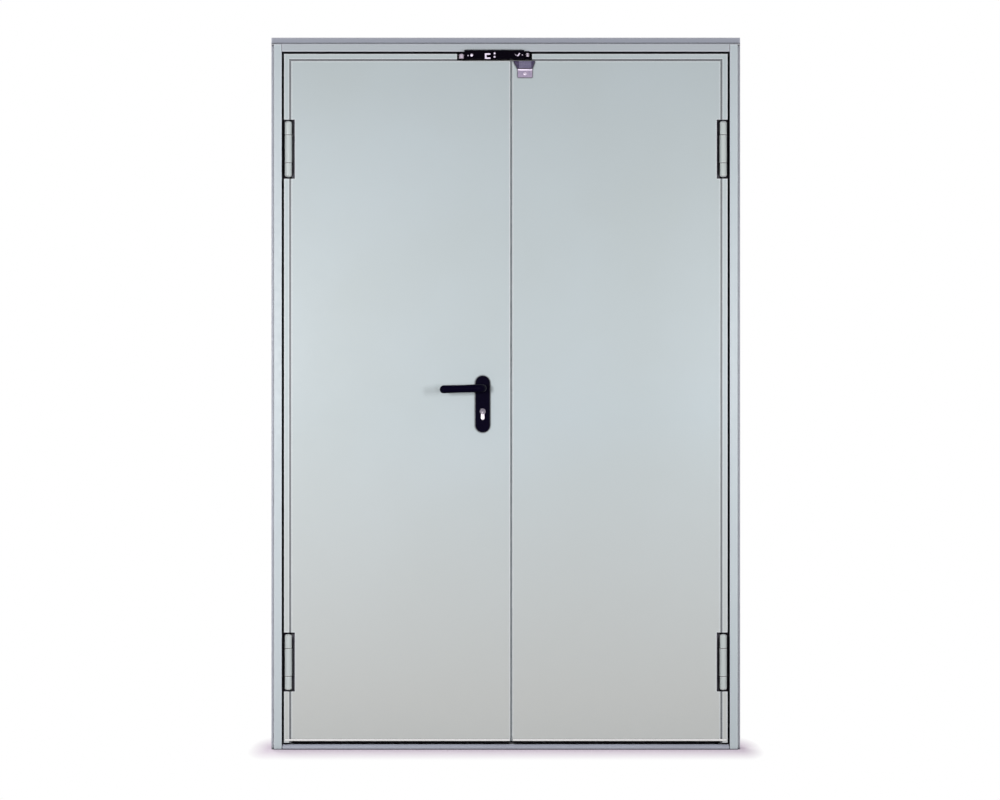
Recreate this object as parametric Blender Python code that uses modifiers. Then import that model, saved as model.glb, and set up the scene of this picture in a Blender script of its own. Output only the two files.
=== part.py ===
"""Double fire door: two steel leaves in a steel frame, with barrel hinges, lever handles, a lock and a
closing selector over the meeting line.

Metres. X runs across the door, Y from the pull side (negative) to the push side, Z up. The origin is the
centre of the threshold's underside. Shapes are drawn for the left-hand side and mirrored for the right.
"""

import math

import bmesh
import bpy
from mathutils import Vector

LEFT = -1
RIGHT = 1

# Clearances
fit = 0.0003                # between pieces that touch
moving_clearance = 0.005    # round anything that moves
pivot_clearance = 0.0005    # at pins, eyes and rollers

# Frame
frame_width = 1.350
frame_height = 2.050
frame_depth = 0.092
frame_sheet = 0.002
fold_radius = 0.0025
side_rim = 0.007            # strip outside each jamb's face, set back
top_rim = 0.018             # the same strip over the head's face
rim_set_back = 0.010
face_width = 0.024
back_flange = 0.015
threshold_height = 0.0155
threshold_nose = 0.007      # sloped part of its front edge
stop_height = 0.030         # raised stop behind the leaves, over the floor
stop_width = 0.010

# Leaves
active_width = 0.6505       # the leaf with the handle
leaf_thickness = 0.060
leaf_sheet = 0.0015
leaf_gap = 0.006            # between frame and leaf
meeting_gap = 0.0065        # between the two leaves
bottom_gap = 0.0095         # leaf over threshold
lip_thickness = 0.020
strip_width = 0.015         # tray's flange in front
groove_width = 0.0055       # between that flange and the flat front sheet

# Seals
seal_height = 0.004
seal_width = 0.011
meeting_seal_depth = 0.006  # behind the leaves' face
meeting_seal_width = 0.005

# Hinges
hinge_offset = 0.0125       # axis in from the leaf's edge
hinge_proud = 0.004         # axis before the leaf's face
barrel_radius = 0.010
barrel_length = 0.160
middle_knuckle = 0.079
knuckle_gap = 0.0015
pin_radius = 0.005
pin_cap = 0.004
strap_thickness = 0.005
pocket_width = 0.0310       # from the leaf's edge to the pocket's inner wall
lower_hinge_rise = 0.2275   # barrel's middle over the leaf's bottom
upper_hinge_drop = 0.274    # barrel's middle under the leaf's top

# Handle and lock
spindle_to_edge = 0.0790    # from the leaf's meeting edge
spindle_height = 1.040
plate_width = 0.0405
plate_length = 0.162
plate_thickness = 0.009
plate_round = 0.0025
plate_drop = 0.0454         # plate's centre below the spindle
spindle_side = 0.008
lever_radius = 0.0115
lever_reach = 0.052         # grip's centre line out from the plate
lever_length = 0.1225
lever_bend = 0.020
cylinder_drop = 0.0665      # lock cylinder's round part below the spindle
cylinder_radius = 0.0085
cylinder_key_width = 0.010
cylinder_height = 0.033
cylinder_proud = 0.003
forend_width = 0.024
forend_length = 0.235
forend_thickness = 0.003
bolt_width = 0.012
bolt_height = 0.030
bolt_proud = 0.001

# Closing selector. Its base and catch are placed from the line midway between the leaves.
base_left_of_meeting = 0.15025
base_right_of_meeting = 0.0540
base_sheet = 0.003
base_back = 0.0275
base_front = 0.0115
pivot_right_of_meeting = 0.04625
pivot_y = 0.001
pivot_radius = 0.003
ear_radius = 0.007
eye_radius = 0.0062
arm_thickness = 0.010
arm_reach = 0.189           # from pivot to roller
web_front = 0.0095          # the arm's front web, measured out from the pivot's axis
web_thickness = 0.003
web_rise = 0.009            # over the arm
web_start = 0.009           # from the pivot's axis
roller_radius = 0.0075
roller_chamfer = 0.0009
roller_wall = 0.0015        # fork plates over and under the roller
axle_radius = 0.002
spring_radius = 0.0048      # coil's centre line round the pivot
spring_wire = 0.0007        # wire's radius
spring_turns = 4.75
spring_leg = 0.010          # its straight ends, behind the arm and towards the base
slide_reach = 0.1142        # from pivot to the slide's middle
slide_width = 0.016
slide_thickness = 0.0012
catch_inset = 0.0030        # from the passive leaf's meeting edge
catch_width = 0.0620
catch_left_taper = 0.012
catch_right_taper = 0.008
catch_height = 0.0215
catch_thickness = 0.006
tab_width = 0.0425
tab_height = 0.0255
tab_thickness = 0.0025

# Worked out from those
face_edge = frame_width / 2 - side_rim - face_width
head_edge = frame_height - top_rim - face_width
reveal_edge = face_edge - strip_width - groove_width
leaf_edge = face_edge - leaf_gap
leaf_top = head_edge - leaf_gap
lip_width = strip_width + groove_width
body_top = leaf_top - lip_width
body_side = lip_width - hinge_offset          # from the hinge's axis
body_bottom = threshold_height + bottom_gap
lip_bottom = threshold_height + moving_clearance
active_edge = active_width - leaf_edge
passive_edge = active_edge + meeting_gap
passive_width = leaf_edge - passive_edge
hinge_x = leaf_edge - hinge_offset
hinge_heights = (body_bottom + lower_hinge_rise, leaf_top - upper_hinge_drop)
behind = leaf_sheet + fit                     # what lies behind a sheet starts here
lip_back = lip_thickness + hinge_proud        # from the hinge's axis
lip_swing = math.hypot(hinge_offset, lip_back) - lip_back
rebate_depth = lip_thickness + lip_swing + moving_clearance + seal_height
seal_inset = fold_radius + fit
stop_face = leaf_thickness + moving_clearance
meeting_line = active_edge + meeting_gap / 2
selector_left = meeting_line - base_left_of_meeting
selector_right = meeting_line + base_right_of_meeting
pivot_x = meeting_line + pivot_right_of_meeting
arm_bottom = body_top + moving_clearance
arm_top = head_edge - moving_clearance
notch_left = selector_left - moving_clearance - 2 * pivot_clearance
notch_right = selector_right + moving_clearance + 2 * pivot_clearance


def add_collection(name):
    collection = bpy.data.collections.new(name)
    bpy.context.scene.collection.children.link(collection)
    return collection


def add_material(name, colour, roughness, metallic):
    material = bpy.data.materials.new(name)
    material.use_nodes = True
    shader = material.node_tree.nodes["Principled BSDF"]
    shader.inputs["Base Color"].default_value = (*colour, 1)
    shader.inputs["Roughness"].default_value = roughness
    shader.inputs["Metallic"].default_value = metallic
    material.diffuse_color = (*colour, 1)
    return material


def add_empty(name, location, parent=None):
    empty = bpy.data.objects.new(name, None)
    empty.empty_display_size = 0.05
    empty.location = location
    empty.parent = parent
    door.objects.link(empty)
    return empty


def add_piece(name, bm, material, parent, location=(0, 0, 0), rotation=(0, 0, 0), side=LEFT, smooth=False):
    """Make an object of the mesh, mirrored where it belongs to the right-hand side."""
    if side == RIGHT:
        bmesh.ops.scale(bm, vec=(-1, 1, 1), verts=bm.verts)
        bmesh.ops.reverse_faces(bm, faces=bm.faces)
    mesh = bpy.data.meshes.new(name)
    bm.to_mesh(mesh)
    bm.free()
    if smooth:
        mesh.shade_smooth()
        mesh.set_sharp_from_angle(angle=math.radians(40))
    piece = bpy.data.objects.new(name, mesh)
    piece.location = location
    piece.rotation_euler = rotation
    piece.parent = parent
    if material:
        mesh.materials.append(material)
        door.objects.link(piece)
    else:
        cutters.objects.link(piece)
        piece.hide_render = True
        piece.display_type = "WIRE"
    return piece


def add_cutter(name, bm, parent, location=(0, 0, 0), rotation=(0, 0, 0), side=LEFT):
    return add_piece(name, bm, None, parent, location, rotation, side)


def cut(pieces, cutter):
    for piece in pieces:
        boolean = piece.modifiers.new(cutter.name, "BOOLEAN")
        boolean.operation = "DIFFERENCE"
        boolean.object = cutter


def join(piece, added):
    """Weld the added shape onto the piece. It stays as a guide among the cutters."""
    boolean = piece.modifiers.new(added.name, "BOOLEAN")
    boolean.operation = "UNION"
    boolean.object = added


def thicken(piece, thickness):
    """Give an open sheet its thickness on the hidden side."""
    solidify = piece.modifiers.new("sheet", "SOLIDIFY")
    solidify.thickness = thickness
    solidify.offset = -1
    solidify.solidify_mode = "NON_MANIFOLD"
    solidify.nonmanifold_thickness_mode = "CONSTRAINTS"


def box(low, high):
    bm = bmesh.new()
    bmesh.ops.create_cube(bm, size=1)
    low, high = Vector(low), Vector(high)
    bmesh.ops.scale(bm, vec=high - low, verts=bm.verts)
    bmesh.ops.translate(bm, vec=(low + high) / 2, verts=bm.verts)
    return bm


def round_edges(bm, radius, chosen, segments=3):
    """Round the edges whose two ends both satisfy the test."""
    edges = [edge for edge in bm.edges if all(chosen(vert.co) for vert in edge.verts)]
    bmesh.ops.bevel(bm, geom=edges, offset=radius, segments=segments, profile=0.5, affect="EDGES")
    return bm


def tube(name, points, radius, resolution, material, parent):
    """A round bar along points of (x, y, z, share of the radius)."""
    curve = bpy.data.curves.new(name, "CURVE")
    curve.dimensions = "3D"
    curve.bevel_depth = radius
    curve.bevel_resolution = resolution
    curve.use_fill_caps = True
    spline = curve.splines.new("POLY")
    spline.points.add(len(points) - 1)
    for point, (x, y, z, share) in zip(spline.points, points):
        point.co = (x, y, z, 1)
        point.radius = share
    curve.materials.append(material)
    bar = bpy.data.objects.new(name, curve)
    bar.parent = parent
    door.objects.link(bar)


def near(a, b):
    return abs(a - b) < 1e-5


def verts_of(geometry):
    return [part for part in geometry if isinstance(part, bmesh.types.BMVert)]


def cylinder(radius, low, high, x=0, y=0, segments=24):
    """Upright round bar."""
    bm = bmesh.new()
    bmesh.ops.create_cone(bm, cap_ends=True, segments=segments, radius1=radius, radius2=radius,
                          depth=high - low)
    bmesh.ops.translate(bm, vec=(x, y, (low + high) / 2), verts=bm.verts)
    return bm


def arc(centre, radius, start, end, steps):
    """Points along an arc, angles in degrees, both ends included."""
    angles = [math.radians(start + (end - start) * step / steps) for step in range(steps + 1)]
    return [(centre[0] + radius * math.cos(a), centre[1] + radius * math.sin(a)) for a in angles]


def circle(centre, radius, steps=24):
    return arc(centre, radius, 0, 360, steps)[:-1]


def flat_shape(loops, low, high):
    """Fill the loops, any loop within another as a hole, and give the shape height from low to high."""
    curve = bpy.data.curves.new("outline", "CURVE")
    curve.dimensions = "2D"
    curve.fill_mode = "BOTH"
    curve.extrude = (high - low) / 2
    for loop in loops:
        spline = curve.splines.new("POLY")
        spline.points.add(len(loop) - 1)
        for point, (x, y) in zip(spline.points, loop):
            point.co = (x, y, 0, 1)
        spline.use_cyclic_u = True
    outline = bpy.data.objects.new("outline", curve)
    bpy.context.scene.collection.objects.link(outline)
    mesh = bpy.data.meshes.new_from_object(outline.evaluated_get(bpy.context.evaluated_depsgraph_get()))
    bm = bmesh.new()
    bm.from_mesh(mesh)
    bmesh.ops.remove_doubles(bm, verts=bm.verts, dist=1e-5)
    bmesh.ops.recalc_face_normals(bm, faces=bm.faces)
    bmesh.ops.translate(bm, vec=(0, 0, (low + high) / 2), verts=bm.verts)
    bpy.data.objects.remove(outline)
    bpy.data.curves.remove(curve)
    bpy.data.meshes.remove(mesh)
    return bm


def merge_flats(bm):
    """Turn each flat side, which filling cut into triangles, back into one face."""
    bmesh.ops.dissolve_limit(bm, angle_limit=math.radians(1), verts=bm.verts, edges=bm.edges)
    return bm


def turned(profile, segments=24):
    """Spin a profile of (radius, height) pairs about the upright axis. It ends on that axis or closes."""
    bm = bmesh.new()
    verts = [bm.verts.new((radius, 0, height)) for radius, height in profile]
    edges = [bm.edges.new(pair) for pair in zip(verts, verts[1:])]
    bmesh.ops.spin(bm, geom=verts + edges, axis=(0, 0, 1), cent=(0, 0, 0), angle=2 * math.pi, steps=segments)
    bmesh.ops.remove_doubles(bm, verts=bm.verts, dist=1e-5)
    bmesh.ops.recalc_face_normals(bm, faces=bm.faces)
    return bm


# Frame

def frame_section(rim):
    """The frame's fold lines as (in from the outer edge, depth), from the wall to the back flange."""
    face = rim + face_width
    reveal = face + lip_width
    return [
        (0, frame_depth),
        (0, rim_set_back),
        (rim, rim_set_back),
        (rim, 0),
        (face, 0),
        (face, rebate_depth),
        (reveal, rebate_depth),
        (reveal, frame_depth),
        (reveal - back_flange, frame_depth),
    ]


def folded_profile(section, length):
    """Draw the fold lines up to the length, facing out, and round the folds."""
    bm = bmesh.new()
    verts = [bm.verts.new((x, y, 0)) for x, y in section]
    edges = [bm.edges.new(pair) for pair in zip(verts, verts[1:])]
    drawn = bmesh.ops.extrude_edge_only(bm, edges=edges)["geom"]
    bmesh.ops.translate(bm, vec=(0, 0, length), verts=verts_of(drawn))
    bmesh.ops.recalc_face_normals(bm, faces=bm.faces)
    bm.faces.ensure_lookup_table()
    bm.normal_update()
    wall_side = min(bm.faces, key=lambda face: face.calc_center_median().x)
    if wall_side.normal.x > 0:
        bmesh.ops.reverse_faces(bm, faces=bm.faces)
    folds = [edge for edge in bm.edges if len(edge.link_faces) == 2]
    bmesh.ops.bevel(bm, geom=folds, offset=fold_radius, segments=2, profile=0.5, affect="EDGES")
    return bm


def make_frame():
    jamb_top = frame_height - top_rim - frame_sheet - fit
    for side, name in ((LEFT, "left"), (RIGHT, "right")):
        jamb = add_piece(f"{name}_jamb", folded_profile(frame_section(side_rim), jamb_top), frame_paint,
                         front, (side * frame_width / 2, 0, 0), side=side)
        thicken(jamb, frame_sheet)
    head = add_piece("head", folded_profile(frame_section(top_rim), frame_width), frame_paint, front,
                     (-frame_width / 2, 0, frame_height), (0, math.radians(90), 0))
    thicken(head, frame_sheet)
    threshold = make_threshold()
    for side, name in ((LEFT, "left"), (RIGHT, "right")):
        coping = flat_shape([jamb_outline()], -threshold_height, jamb_top + fit)
        cut([head, threshold], add_cutter(f"{name}_coping", coping, front, side=side))
    make_frame_seals()


def make_threshold():
    """A low bar with a sloped front edge and a raised stop behind the leaves for their bottom seal."""
    stop_front = stop_face + seal_height
    stop_back = stop_front + stop_width
    profile = [(0, 0), (0, threshold_height - threshold_nose), (threshold_nose, threshold_height),
               (stop_front, threshold_height), (stop_front, stop_height), (stop_back, stop_height),
               (stop_back, threshold_height), (frame_depth, threshold_height), (frame_depth, 0)]
    along = (math.radians(90), 0, math.radians(90))
    threshold = add_piece("threshold", flat_shape([profile], -frame_width / 2, frame_width / 2),
                          threshold_paint, front, rotation=along)
    bm = box((-reveal_edge + 2 * fit, stop_face, threshold_height + fit),
             (reveal_edge - 2 * fit, stop_front - fit, stop_height))
    round_edges(bm, seal_height / 3, lambda co: near(co.y, stop_face))
    add_piece("bottom_seal", bm, seal_rubber, front)
    return threshold


def jamb_outline():
    """What head and threshold leave free for the left jamb, from above, its inner fold cut across."""
    face = -face_edge + fit
    reveal = -reveal_edge + fit
    step = rebate_depth - fit
    before = -frame_depth
    beyond = 2 * frame_depth
    return [(-frame_width, before), (face, before), (face, step - fold_radius),
            (face + fold_radius, step), (reveal, step), (reveal, beyond), (-frame_width, beyond)]


def make_frame_seals():
    seal_back = rebate_depth - fit
    seal_front = seal_back - seal_height
    outer = face_edge - seal_inset
    inner = outer - seal_width
    for side, name in ((LEFT, "left"), (RIGHT, "right")):
        bm = box((-outer, seal_front, threshold_height + fit), (-inner, seal_back, head_edge - seal_inset))
        round_edges(bm, seal_height / 3, lambda co: near(co.y, seal_front))
        add_piece(f"{name}_seal", bm, seal_rubber, front, side=side)
    top = head_edge - seal_inset
    bm = box((-inner + fit, seal_front, top - seal_width), (inner - fit, seal_back, top))
    round_edges(bm, seal_height / 3, lambda co: near(co.y, seal_front))
    add_piece("head_seal", bm, seal_rubber, front)


# Leaves. Their pieces are drawn from the hinge's axis towards the meeting edge, depth from the leaf's face.

def reach_of(width):
    return width - hinge_offset


def meeting_slope(width):
    """How far the back of the meeting edge is planed off so that it swings clear of the other leaf."""
    front_radius = math.hypot(reach_of(width), hinge_proud)
    return reach_of(width) - math.sqrt(front_radius ** 2 - (leaf_thickness + hinge_proud) ** 2)


def plane_meeting_edge(bm, width, edge):
    slope = meeting_slope(width)
    for vert in bm.verts:
        if near(vert.co.x, edge):
            vert.co.x -= slope * max(vert.co.y, 0) / leaf_thickness


def split(bm, point, normal):
    geometry = bm.verts[:] + bm.edges[:] + bm.faces[:]
    bmesh.ops.bisect_plane(bm, geom=geometry, plane_co=point, plane_no=normal)


def push_face(bm, chosen, offset):
    """Extrude the faces whose centre and normal satisfy the test."""
    bm.normal_update()
    faces = [face for face in bm.faces if chosen(face.calc_center_median(), face.normal)]
    moved = bmesh.ops.extrude_face_region(bm, geom=faces)["geom"]
    bmesh.ops.translate(bm, vec=offset, verts=verts_of(moved))
    bmesh.ops.delete(bm, geom=faces, context="FACES")


def stepped_leaf(width, inset, front_depth):
    """A leaf's closed block: the lip round hinge side and top, and the thicker body behind and within it."""
    edge = reach_of(width) - inset
    side = body_side + inset
    foot_side = body_side - inset
    top = body_top - inset
    bottom = body_bottom + inset
    bm = box((-hinge_offset + inset, front_depth, bottom),
             (edge, lip_thickness - inset, leaf_top - inset))
    for line in sorted({side, foot_side}):
        split(bm, (line, 0, 0), (1, 0, 0))
    split(bm, (0, 0, top), (0, 0, 1))
    push_face(bm, lambda centre, normal: normal.y > 0.9 and centre.x > side and centre.z < top,
              (0, leaf_thickness - lip_thickness, 0))
    lowest = bottom + fit
    push_face(bm, lambda centre, normal: normal.z < -0.9 and centre.x < foot_side and centre.z < lowest,
              (0, 0, lip_bottom - body_bottom))
    plane_meeting_edge(bm, width, edge)
    return bm


def leaf_front_sheet(width):
    """The flat front sheet. Past the body it steps back by its own thickness, in behind the flange."""
    edge = reach_of(width)
    bm = bmesh.new()
    corners = [(body_side, body_bottom), (edge, body_bottom), (edge, body_top), (body_side, body_top)]
    bm.faces.new([bm.verts.new((x, 0, z)) for x, z in corners])
    split(bm, (edge - behind - fit, 0, 0), (1, 0, 0))
    split(bm, (0, 0, body_bottom + behind + fit), (0, 0, 1))

    def under_lip(co):
        on_side = near(co.x, body_side) and co.z > body_bottom + behind
        on_top = near(co.z, body_top) and co.x < edge - behind
        return on_side, on_top

    def step_edges():
        return [e for e in bm.edges if any(all(under_lip(v.co)[way] for v in e.verts) for way in (0, 1))
                and len(e.link_faces) == 1]

    step = bmesh.ops.extrude_edge_only(bm, edges=step_edges())["geom"]
    bmesh.ops.translate(bm, vec=(0, behind, 0), verts=verts_of(step))
    rim = [e for e in step if isinstance(e, bmesh.types.BMEdge)
           and all(near(v.co.y, behind) for v in e.verts)]
    floor = bmesh.ops.extrude_edge_only(bm, edges=rim)["geom"]
    for vert in verts_of(floor):
        if near(vert.co.x, body_side):
            vert.co.x = -hinge_offset + behind
        if near(vert.co.z, body_top):
            vert.co.z = leaf_top - behind
    bmesh.ops.recalc_face_normals(bm, faces=bm.faces)
    bm.normal_update()
    if max(bm.faces, key=lambda face: face.calc_area()).normal.y > 0:
        bmesh.ops.reverse_faces(bm, faces=bm.faces)
    return bm


def make_core(name, side, width, axis, start):
    """The fire board inside, and a strip of it in the top lip. In front the board meets the flat sheet."""
    bm = stepped_leaf(width, behind, 2 * behind)
    foot = body_side + behind
    top = body_top - behind
    push_face(bm, lambda centre, normal: (normal.y < -0.9 and centre.x > foot
                                          and body_bottom < centre.z < top), (0, -behind, 0))
    core = add_piece(f"{name}_leaf_core", bm, core_board, axis, start, side=side)
    above = box((-frame_width, -leaf_thickness, top - fit),
                (frame_width, 2 * leaf_thickness, frame_height))
    cut([core], add_cutter(f"{name}_top_strip_room", above, axis, start, side=side))
    to_notch = hinge_x + notch_left if side == LEFT else hinge_x - notch_right
    bm = box((-hinge_offset + behind, 2 * behind, top),
             (to_notch - behind, lip_thickness - behind, leaf_top - behind))
    strip = add_piece(f"{name}_leaf_top_strip", bm, core_board, axis, start, side=side)
    return [core, strip]


def make_tray(name, side, width, axis, start):
    """The back sheet, which wraps the edges and the lip and ends in a flange in front."""
    tray = add_piece(f"{name}_leaf_tray", stepped_leaf(width, 0, 0), leaf_paint, axis, start, side=side)
    hollow = stepped_leaf(width, leaf_sheet, leaf_sheet)
    cut([tray], add_cutter(f"{name}_tray_hollow", hollow, axis, start, side=side))
    opening = box((strip_width - hinge_offset, -lip_thickness, 0),
                  (frame_width, behind, leaf_top - strip_width))
    cut([tray], add_cutter(f"{name}_tray_opening", opening, axis, start, side=side))
    return tray


def make_leaf(name, side, width, axis):
    """Tray, front sheet and core, with the pockets for the hinges and the notch for the selector."""
    start = (0, hinge_proud, 0)
    tray = make_tray(name, side, width, axis, start)
    bm = leaf_front_sheet(width)
    sheet = add_piece(f"{name}_leaf_front_sheet", bm, leaf_paint, axis, start, side=side)
    thicken(sheet, leaf_sheet)
    layers = [tray, sheet] + make_core(name, side, width, axis, start)
    for number, height in enumerate(hinge_heights):
        half = barrel_length / 2 + moving_clearance
        pocket = box((-2 * hinge_offset, -lip_thickness, height - half),
                     (pocket_width - hinge_offset, lip_thickness + fit, height + half))
        cut(layers, add_cutter(f"{name}_hinge_pocket_{number}", pocket, axis, start, side=side))
    return layers


def make_hinge(name, side, axis, leaf_axis, height):
    """Two outer knuckles on straps to the frame's rebate, a middle one on the leaf's strap, and the pin."""
    half = barrel_length / 2 - pin_cap
    bore = circle((0, 0), pin_radius + fit)
    to_frame = body_side - leaf_gap
    strap_end = rebate_depth + hinge_proud - fit
    frame_outline = knuckle_outline(to_frame - strap_thickness, to_frame, strap_end)
    frame_part = add_piece(f"{name}_hinge_frame_knuckles", flat_shape([frame_outline, bore], -half, half),
                           hinge_paint, axis, (0, 0, height), side=side, smooth=True)
    middle = middle_knuckle / 2 + knuckle_gap
    room = box((-2 * barrel_radius, -2 * barrel_radius, -middle),
               (2 * barrel_radius, barrel_radius + moving_clearance, middle))
    cut([frame_part], add_cutter(f"{name}_hinge_room", room, axis, (0, 0, height), side=side))

    floor = lip_thickness + hinge_proud
    leaf_outline = knuckle_outline(body_side, body_side + strap_thickness, floor)
    bm = flat_shape([leaf_outline, bore], -middle_knuckle / 2, middle_knuckle / 2)
    add_piece(f"{name}_hinge_leaf_knuckle", bm, hinge_paint, leaf_axis, (0, 0, height), side=side,
              smooth=True)

    rise = [(barrel_radius * math.sin(math.radians(a)), half + fit + pin_cap * math.cos(math.radians(a)))
            for a in (90, 60, 30, 0)]
    cap = rise[::-1]
    profile = cap + [(pin_radius, half + fit)] + [(pin_radius, -half - fit)] + [(r, -z) for r, z in rise]
    add_piece(f"{name}_hinge_pin", turned(profile), hinge_paint, axis, (0, 0, height), side=side,
              smooth=True)


def knuckle_outline(near_side, far_side, end):
    """A round knuckle with a straight strap running back from it, seen from above."""
    leaves_at = math.degrees(math.acos(near_side / barrel_radius))
    returns_at = 360 + math.degrees(math.acos(min(far_side / barrel_radius, 1)))
    return [(far_side, end), (near_side, end)] + arc((0, 0), barrel_radius, leaves_at, returns_at, 20)


# Handle and lock

def plate_outline():
    radius = plate_width / 2
    straight = plate_length / 2 - radius
    return arc((0, straight), radius, 0, 180, 16) + arc((0, -straight), radius, 180, 360, 16)


def cylinder_outline(grow=0.0):
    """The lock cylinder's keyhole form: a round barrel with a narrower leg below."""
    radius = cylinder_radius + grow
    half = cylinder_key_width / 2 + grow
    leg = -(cylinder_height - cylinder_radius - cylinder_key_width / 2)
    meet = math.degrees(math.asin(half / radius))
    return arc((0, 0), radius, -90 + meet, 270 - meet, 20) + arc((0, leg), half, 180, 360, 10)


def make_lock(layers, axis):
    """Handle plates, the lever on both sides with its spindle, and the lock cylinder."""
    spindle = reach_of(active_width) - spindle_to_edge
    start = (spindle, hinge_proud, spindle_height)
    upright = (math.radians(90), 0, 0)
    through = leaf_thickness + 2 * plate_thickness + 2 * cylinder_proud

    key_start = (spindle, hinge_proud, spindle_height - cylinder_drop)
    round_hole = circle((0, cylinder_drop), spindle_side)
    bm = flat_shape([cylinder_outline(fit), round_hole], -through, through)
    holes = add_cutter("spindle_and_cylinder_holes", bm, axis, key_start, upright)
    cut(layers, holes)

    plates = []
    for face, depth in (("front", -fit), ("back", leaf_thickness + fit + plate_thickness)):
        bm = merge_flats(flat_shape([plate_outline()], 0, plate_thickness))
        outside = plate_thickness if face == "front" else 0
        round_edges(bm, plate_round, lambda co: near(co.z, outside), segments=2)
        plate = add_piece(f"{face}_handle_plate", bm, black_metal, axis,
                          (spindle, hinge_proud + depth, spindle_height - plate_drop), upright, smooth=True)
        plates.append(plate)
    cut(plates, holes)

    low = -leaf_thickness - plate_thickness - cylinder_proud
    add_piece("lock_cylinder", flat_shape([cylinder_outline()], low, plate_thickness + cylinder_proud),
              bright_metal, axis, key_start, upright, smooth=True)

    handle = add_empty("handle_axis", start, axis)
    make_lever("front_lever", handle, -plate_thickness - 2 * fit, -1)
    make_lever("back_lever", handle, leaf_thickness + plate_thickness + 2 * fit, 1)
    half = spindle_side / 2
    bar = box((-half, -plate_thickness - fit, -half),
              (half, leaf_thickness + plate_thickness + fit, half))
    add_piece("spindle", bar, dark_steel, handle)


def make_lever(name, handle, start, out):
    """A round bar out from the plate, bent towards the hinges, with a domed end."""
    bend_centre = (-lever_bend, start + out * (lever_reach - lever_bend))
    bend = [(x, y) for x, y in arc((0, 0), lever_bend, 0, 90, 6)]
    tip = -lever_length
    grip_y = start + out * lever_reach
    points = [(0, start, 0, 1)]
    points += [(bend_centre[0] + x, bend_centre[1] + out * y, 0, 1) for x, y in bend]
    for step in range(7):
        angle = math.radians(15 * step)
        points.append((tip + lever_radius * (1 - math.sin(angle)), grip_y, 0, max(math.cos(angle), 0.05)))
    tube(name, points, lever_radius, 4, black_metal, handle)


def make_edge_furniture(name, axis, layers, width, side):
    """A flat plate let into a meeting edge, turned with the edge's slope, and what sits in its window."""
    edge = reach_of(width)
    slope = math.atan2(meeting_slope(width), leaf_thickness)
    middle = leaf_thickness / 2
    start = (side * -1 * (edge - meeting_slope(width) / 2), hinge_proud + middle,
             spindle_height - plate_drop)
    turn = (0, 0, slope if side == LEFT else -slope)
    half_width, half_length = forend_width / 2, forend_length / 2
    pocket = box((-forend_thickness - fit, -half_width - fit, -half_length - fit),
                 (2 * forend_thickness, half_width + fit, half_length + fit))
    cut(layers, add_cutter(f"{name}_pocket", pocket, axis, start, turn, side=side))
    bm = box((-forend_thickness, -half_width, -half_length), (0, half_width, half_length))
    plate = add_piece(name, bm, bright_metal, axis, start, turn, side=side)
    half_bolt = bolt_width / 2
    bolt_low = plate_drop - bolt_height / 2
    window = box((-2 * forend_thickness - fit, -half_bolt - fit, bolt_low - fit),
                 (forend_thickness, half_bolt + fit, bolt_low + bolt_height + fit))
    cut([plate] + layers, add_cutter(f"{name}_window", window, axis, start, turn, side=side))
    return start, turn, (half_bolt, bolt_low)


# Closing selector

def make_selector():
    """Base under the head, with its two ears and the pin, and the arm that turns on it."""
    top = head_edge - fit
    section = [(0, base_front), (0, base_back), (top - arm_bottom, base_back)]
    bm = folded_profile(section, selector_right - selector_left)
    base = add_piece("selector_base", bm, black_metal, front, (selector_left, 0, top),
                     (0, math.radians(90), 0))
    thicken(base, base_sheet)
    inside_back = base_back - base_sheet / 2
    for name, low in (("upper", top - base_sheet), ("lower", arm_bottom)):
        ear = arc((pivot_x, pivot_y), ear_radius, 180, 360, 12)
        ear += [(pivot_x + ear_radius, inside_back), (pivot_x - ear_radius, inside_back)]
        join(base, add_cutter(f"selector_{name}_ear", flat_shape([ear], low, low + base_sheet), front))
    pin_hole = cylinder(pivot_radius + fit, 0, 1.1 * frame_height, pivot_x, pivot_y)
    cut([base], add_cutter("selector_pin_hole", pin_hole, front))
    pin = cylinder(pivot_radius, arm_bottom, top)
    add_piece("selector_pivot_pin", pin, bright_metal, front, (pivot_x, pivot_y, 0), smooth=True)

    arm_axis = add_empty("selector_axis", (pivot_x, pivot_y, 0), front)
    make_arm(arm_axis)
    make_roller(arm_axis)
    make_slide(arm_axis, -slide_reach, -web_front - fit)


def make_arm(arm_axis):
    """The arm, forked at its tip for the roller. Over its eye it leaves room for the pin's spring."""
    half = arm_thickness / 2
    outline = arc((0, 0), eye_radius, -125, 125, 16) + arc((-arm_reach, 0), half, 90, 270, 12)
    bm = merge_flats(flat_shape([outline], arm_bottom, arm_top))
    arm = add_piece("selector_arm", bm, black_metal, arm_axis)
    eye_low = arm_bottom + base_sheet + pivot_clearance
    eye_high = eye_low + base_sheet
    round_ear = 2 * ear_radius
    ear_room = box((-round_ear, -round_ear, arm_bottom - base_sheet), (round_ear, round_ear, eye_low))
    cut([arm], add_cutter("selector_ear_room", ear_room, arm_axis))
    spring_room = cylinder(spring_radius + 3 * spring_wire, eye_high, arm_top + base_sheet)
    cut([arm], add_cutter("selector_spring_room", spring_room, arm_axis))
    eye_hole = cylinder(pivot_radius + pivot_clearance, arm_bottom, arm_top)
    cut([arm], add_cutter("selector_eye_hole", eye_hole, arm_axis))
    room = cylinder(roller_radius + 2 * pivot_clearance, arm_bottom + roller_wall,
                    arm_top - roller_wall, -arm_reach)
    cut([arm], add_cutter("selector_roller_room", room, arm_axis))
    axle_hole = cylinder(axle_radius + fit, arm_bottom - roller_wall, arm_top + roller_wall, -arm_reach)
    cut([arm], add_cutter("selector_axle_hole", axle_hole, arm_axis))
    join(arm, make_web(arm_axis))
    make_spring(arm_axis, eye_high + fit, head_edge - 2 * fit - base_sheet)


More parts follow.
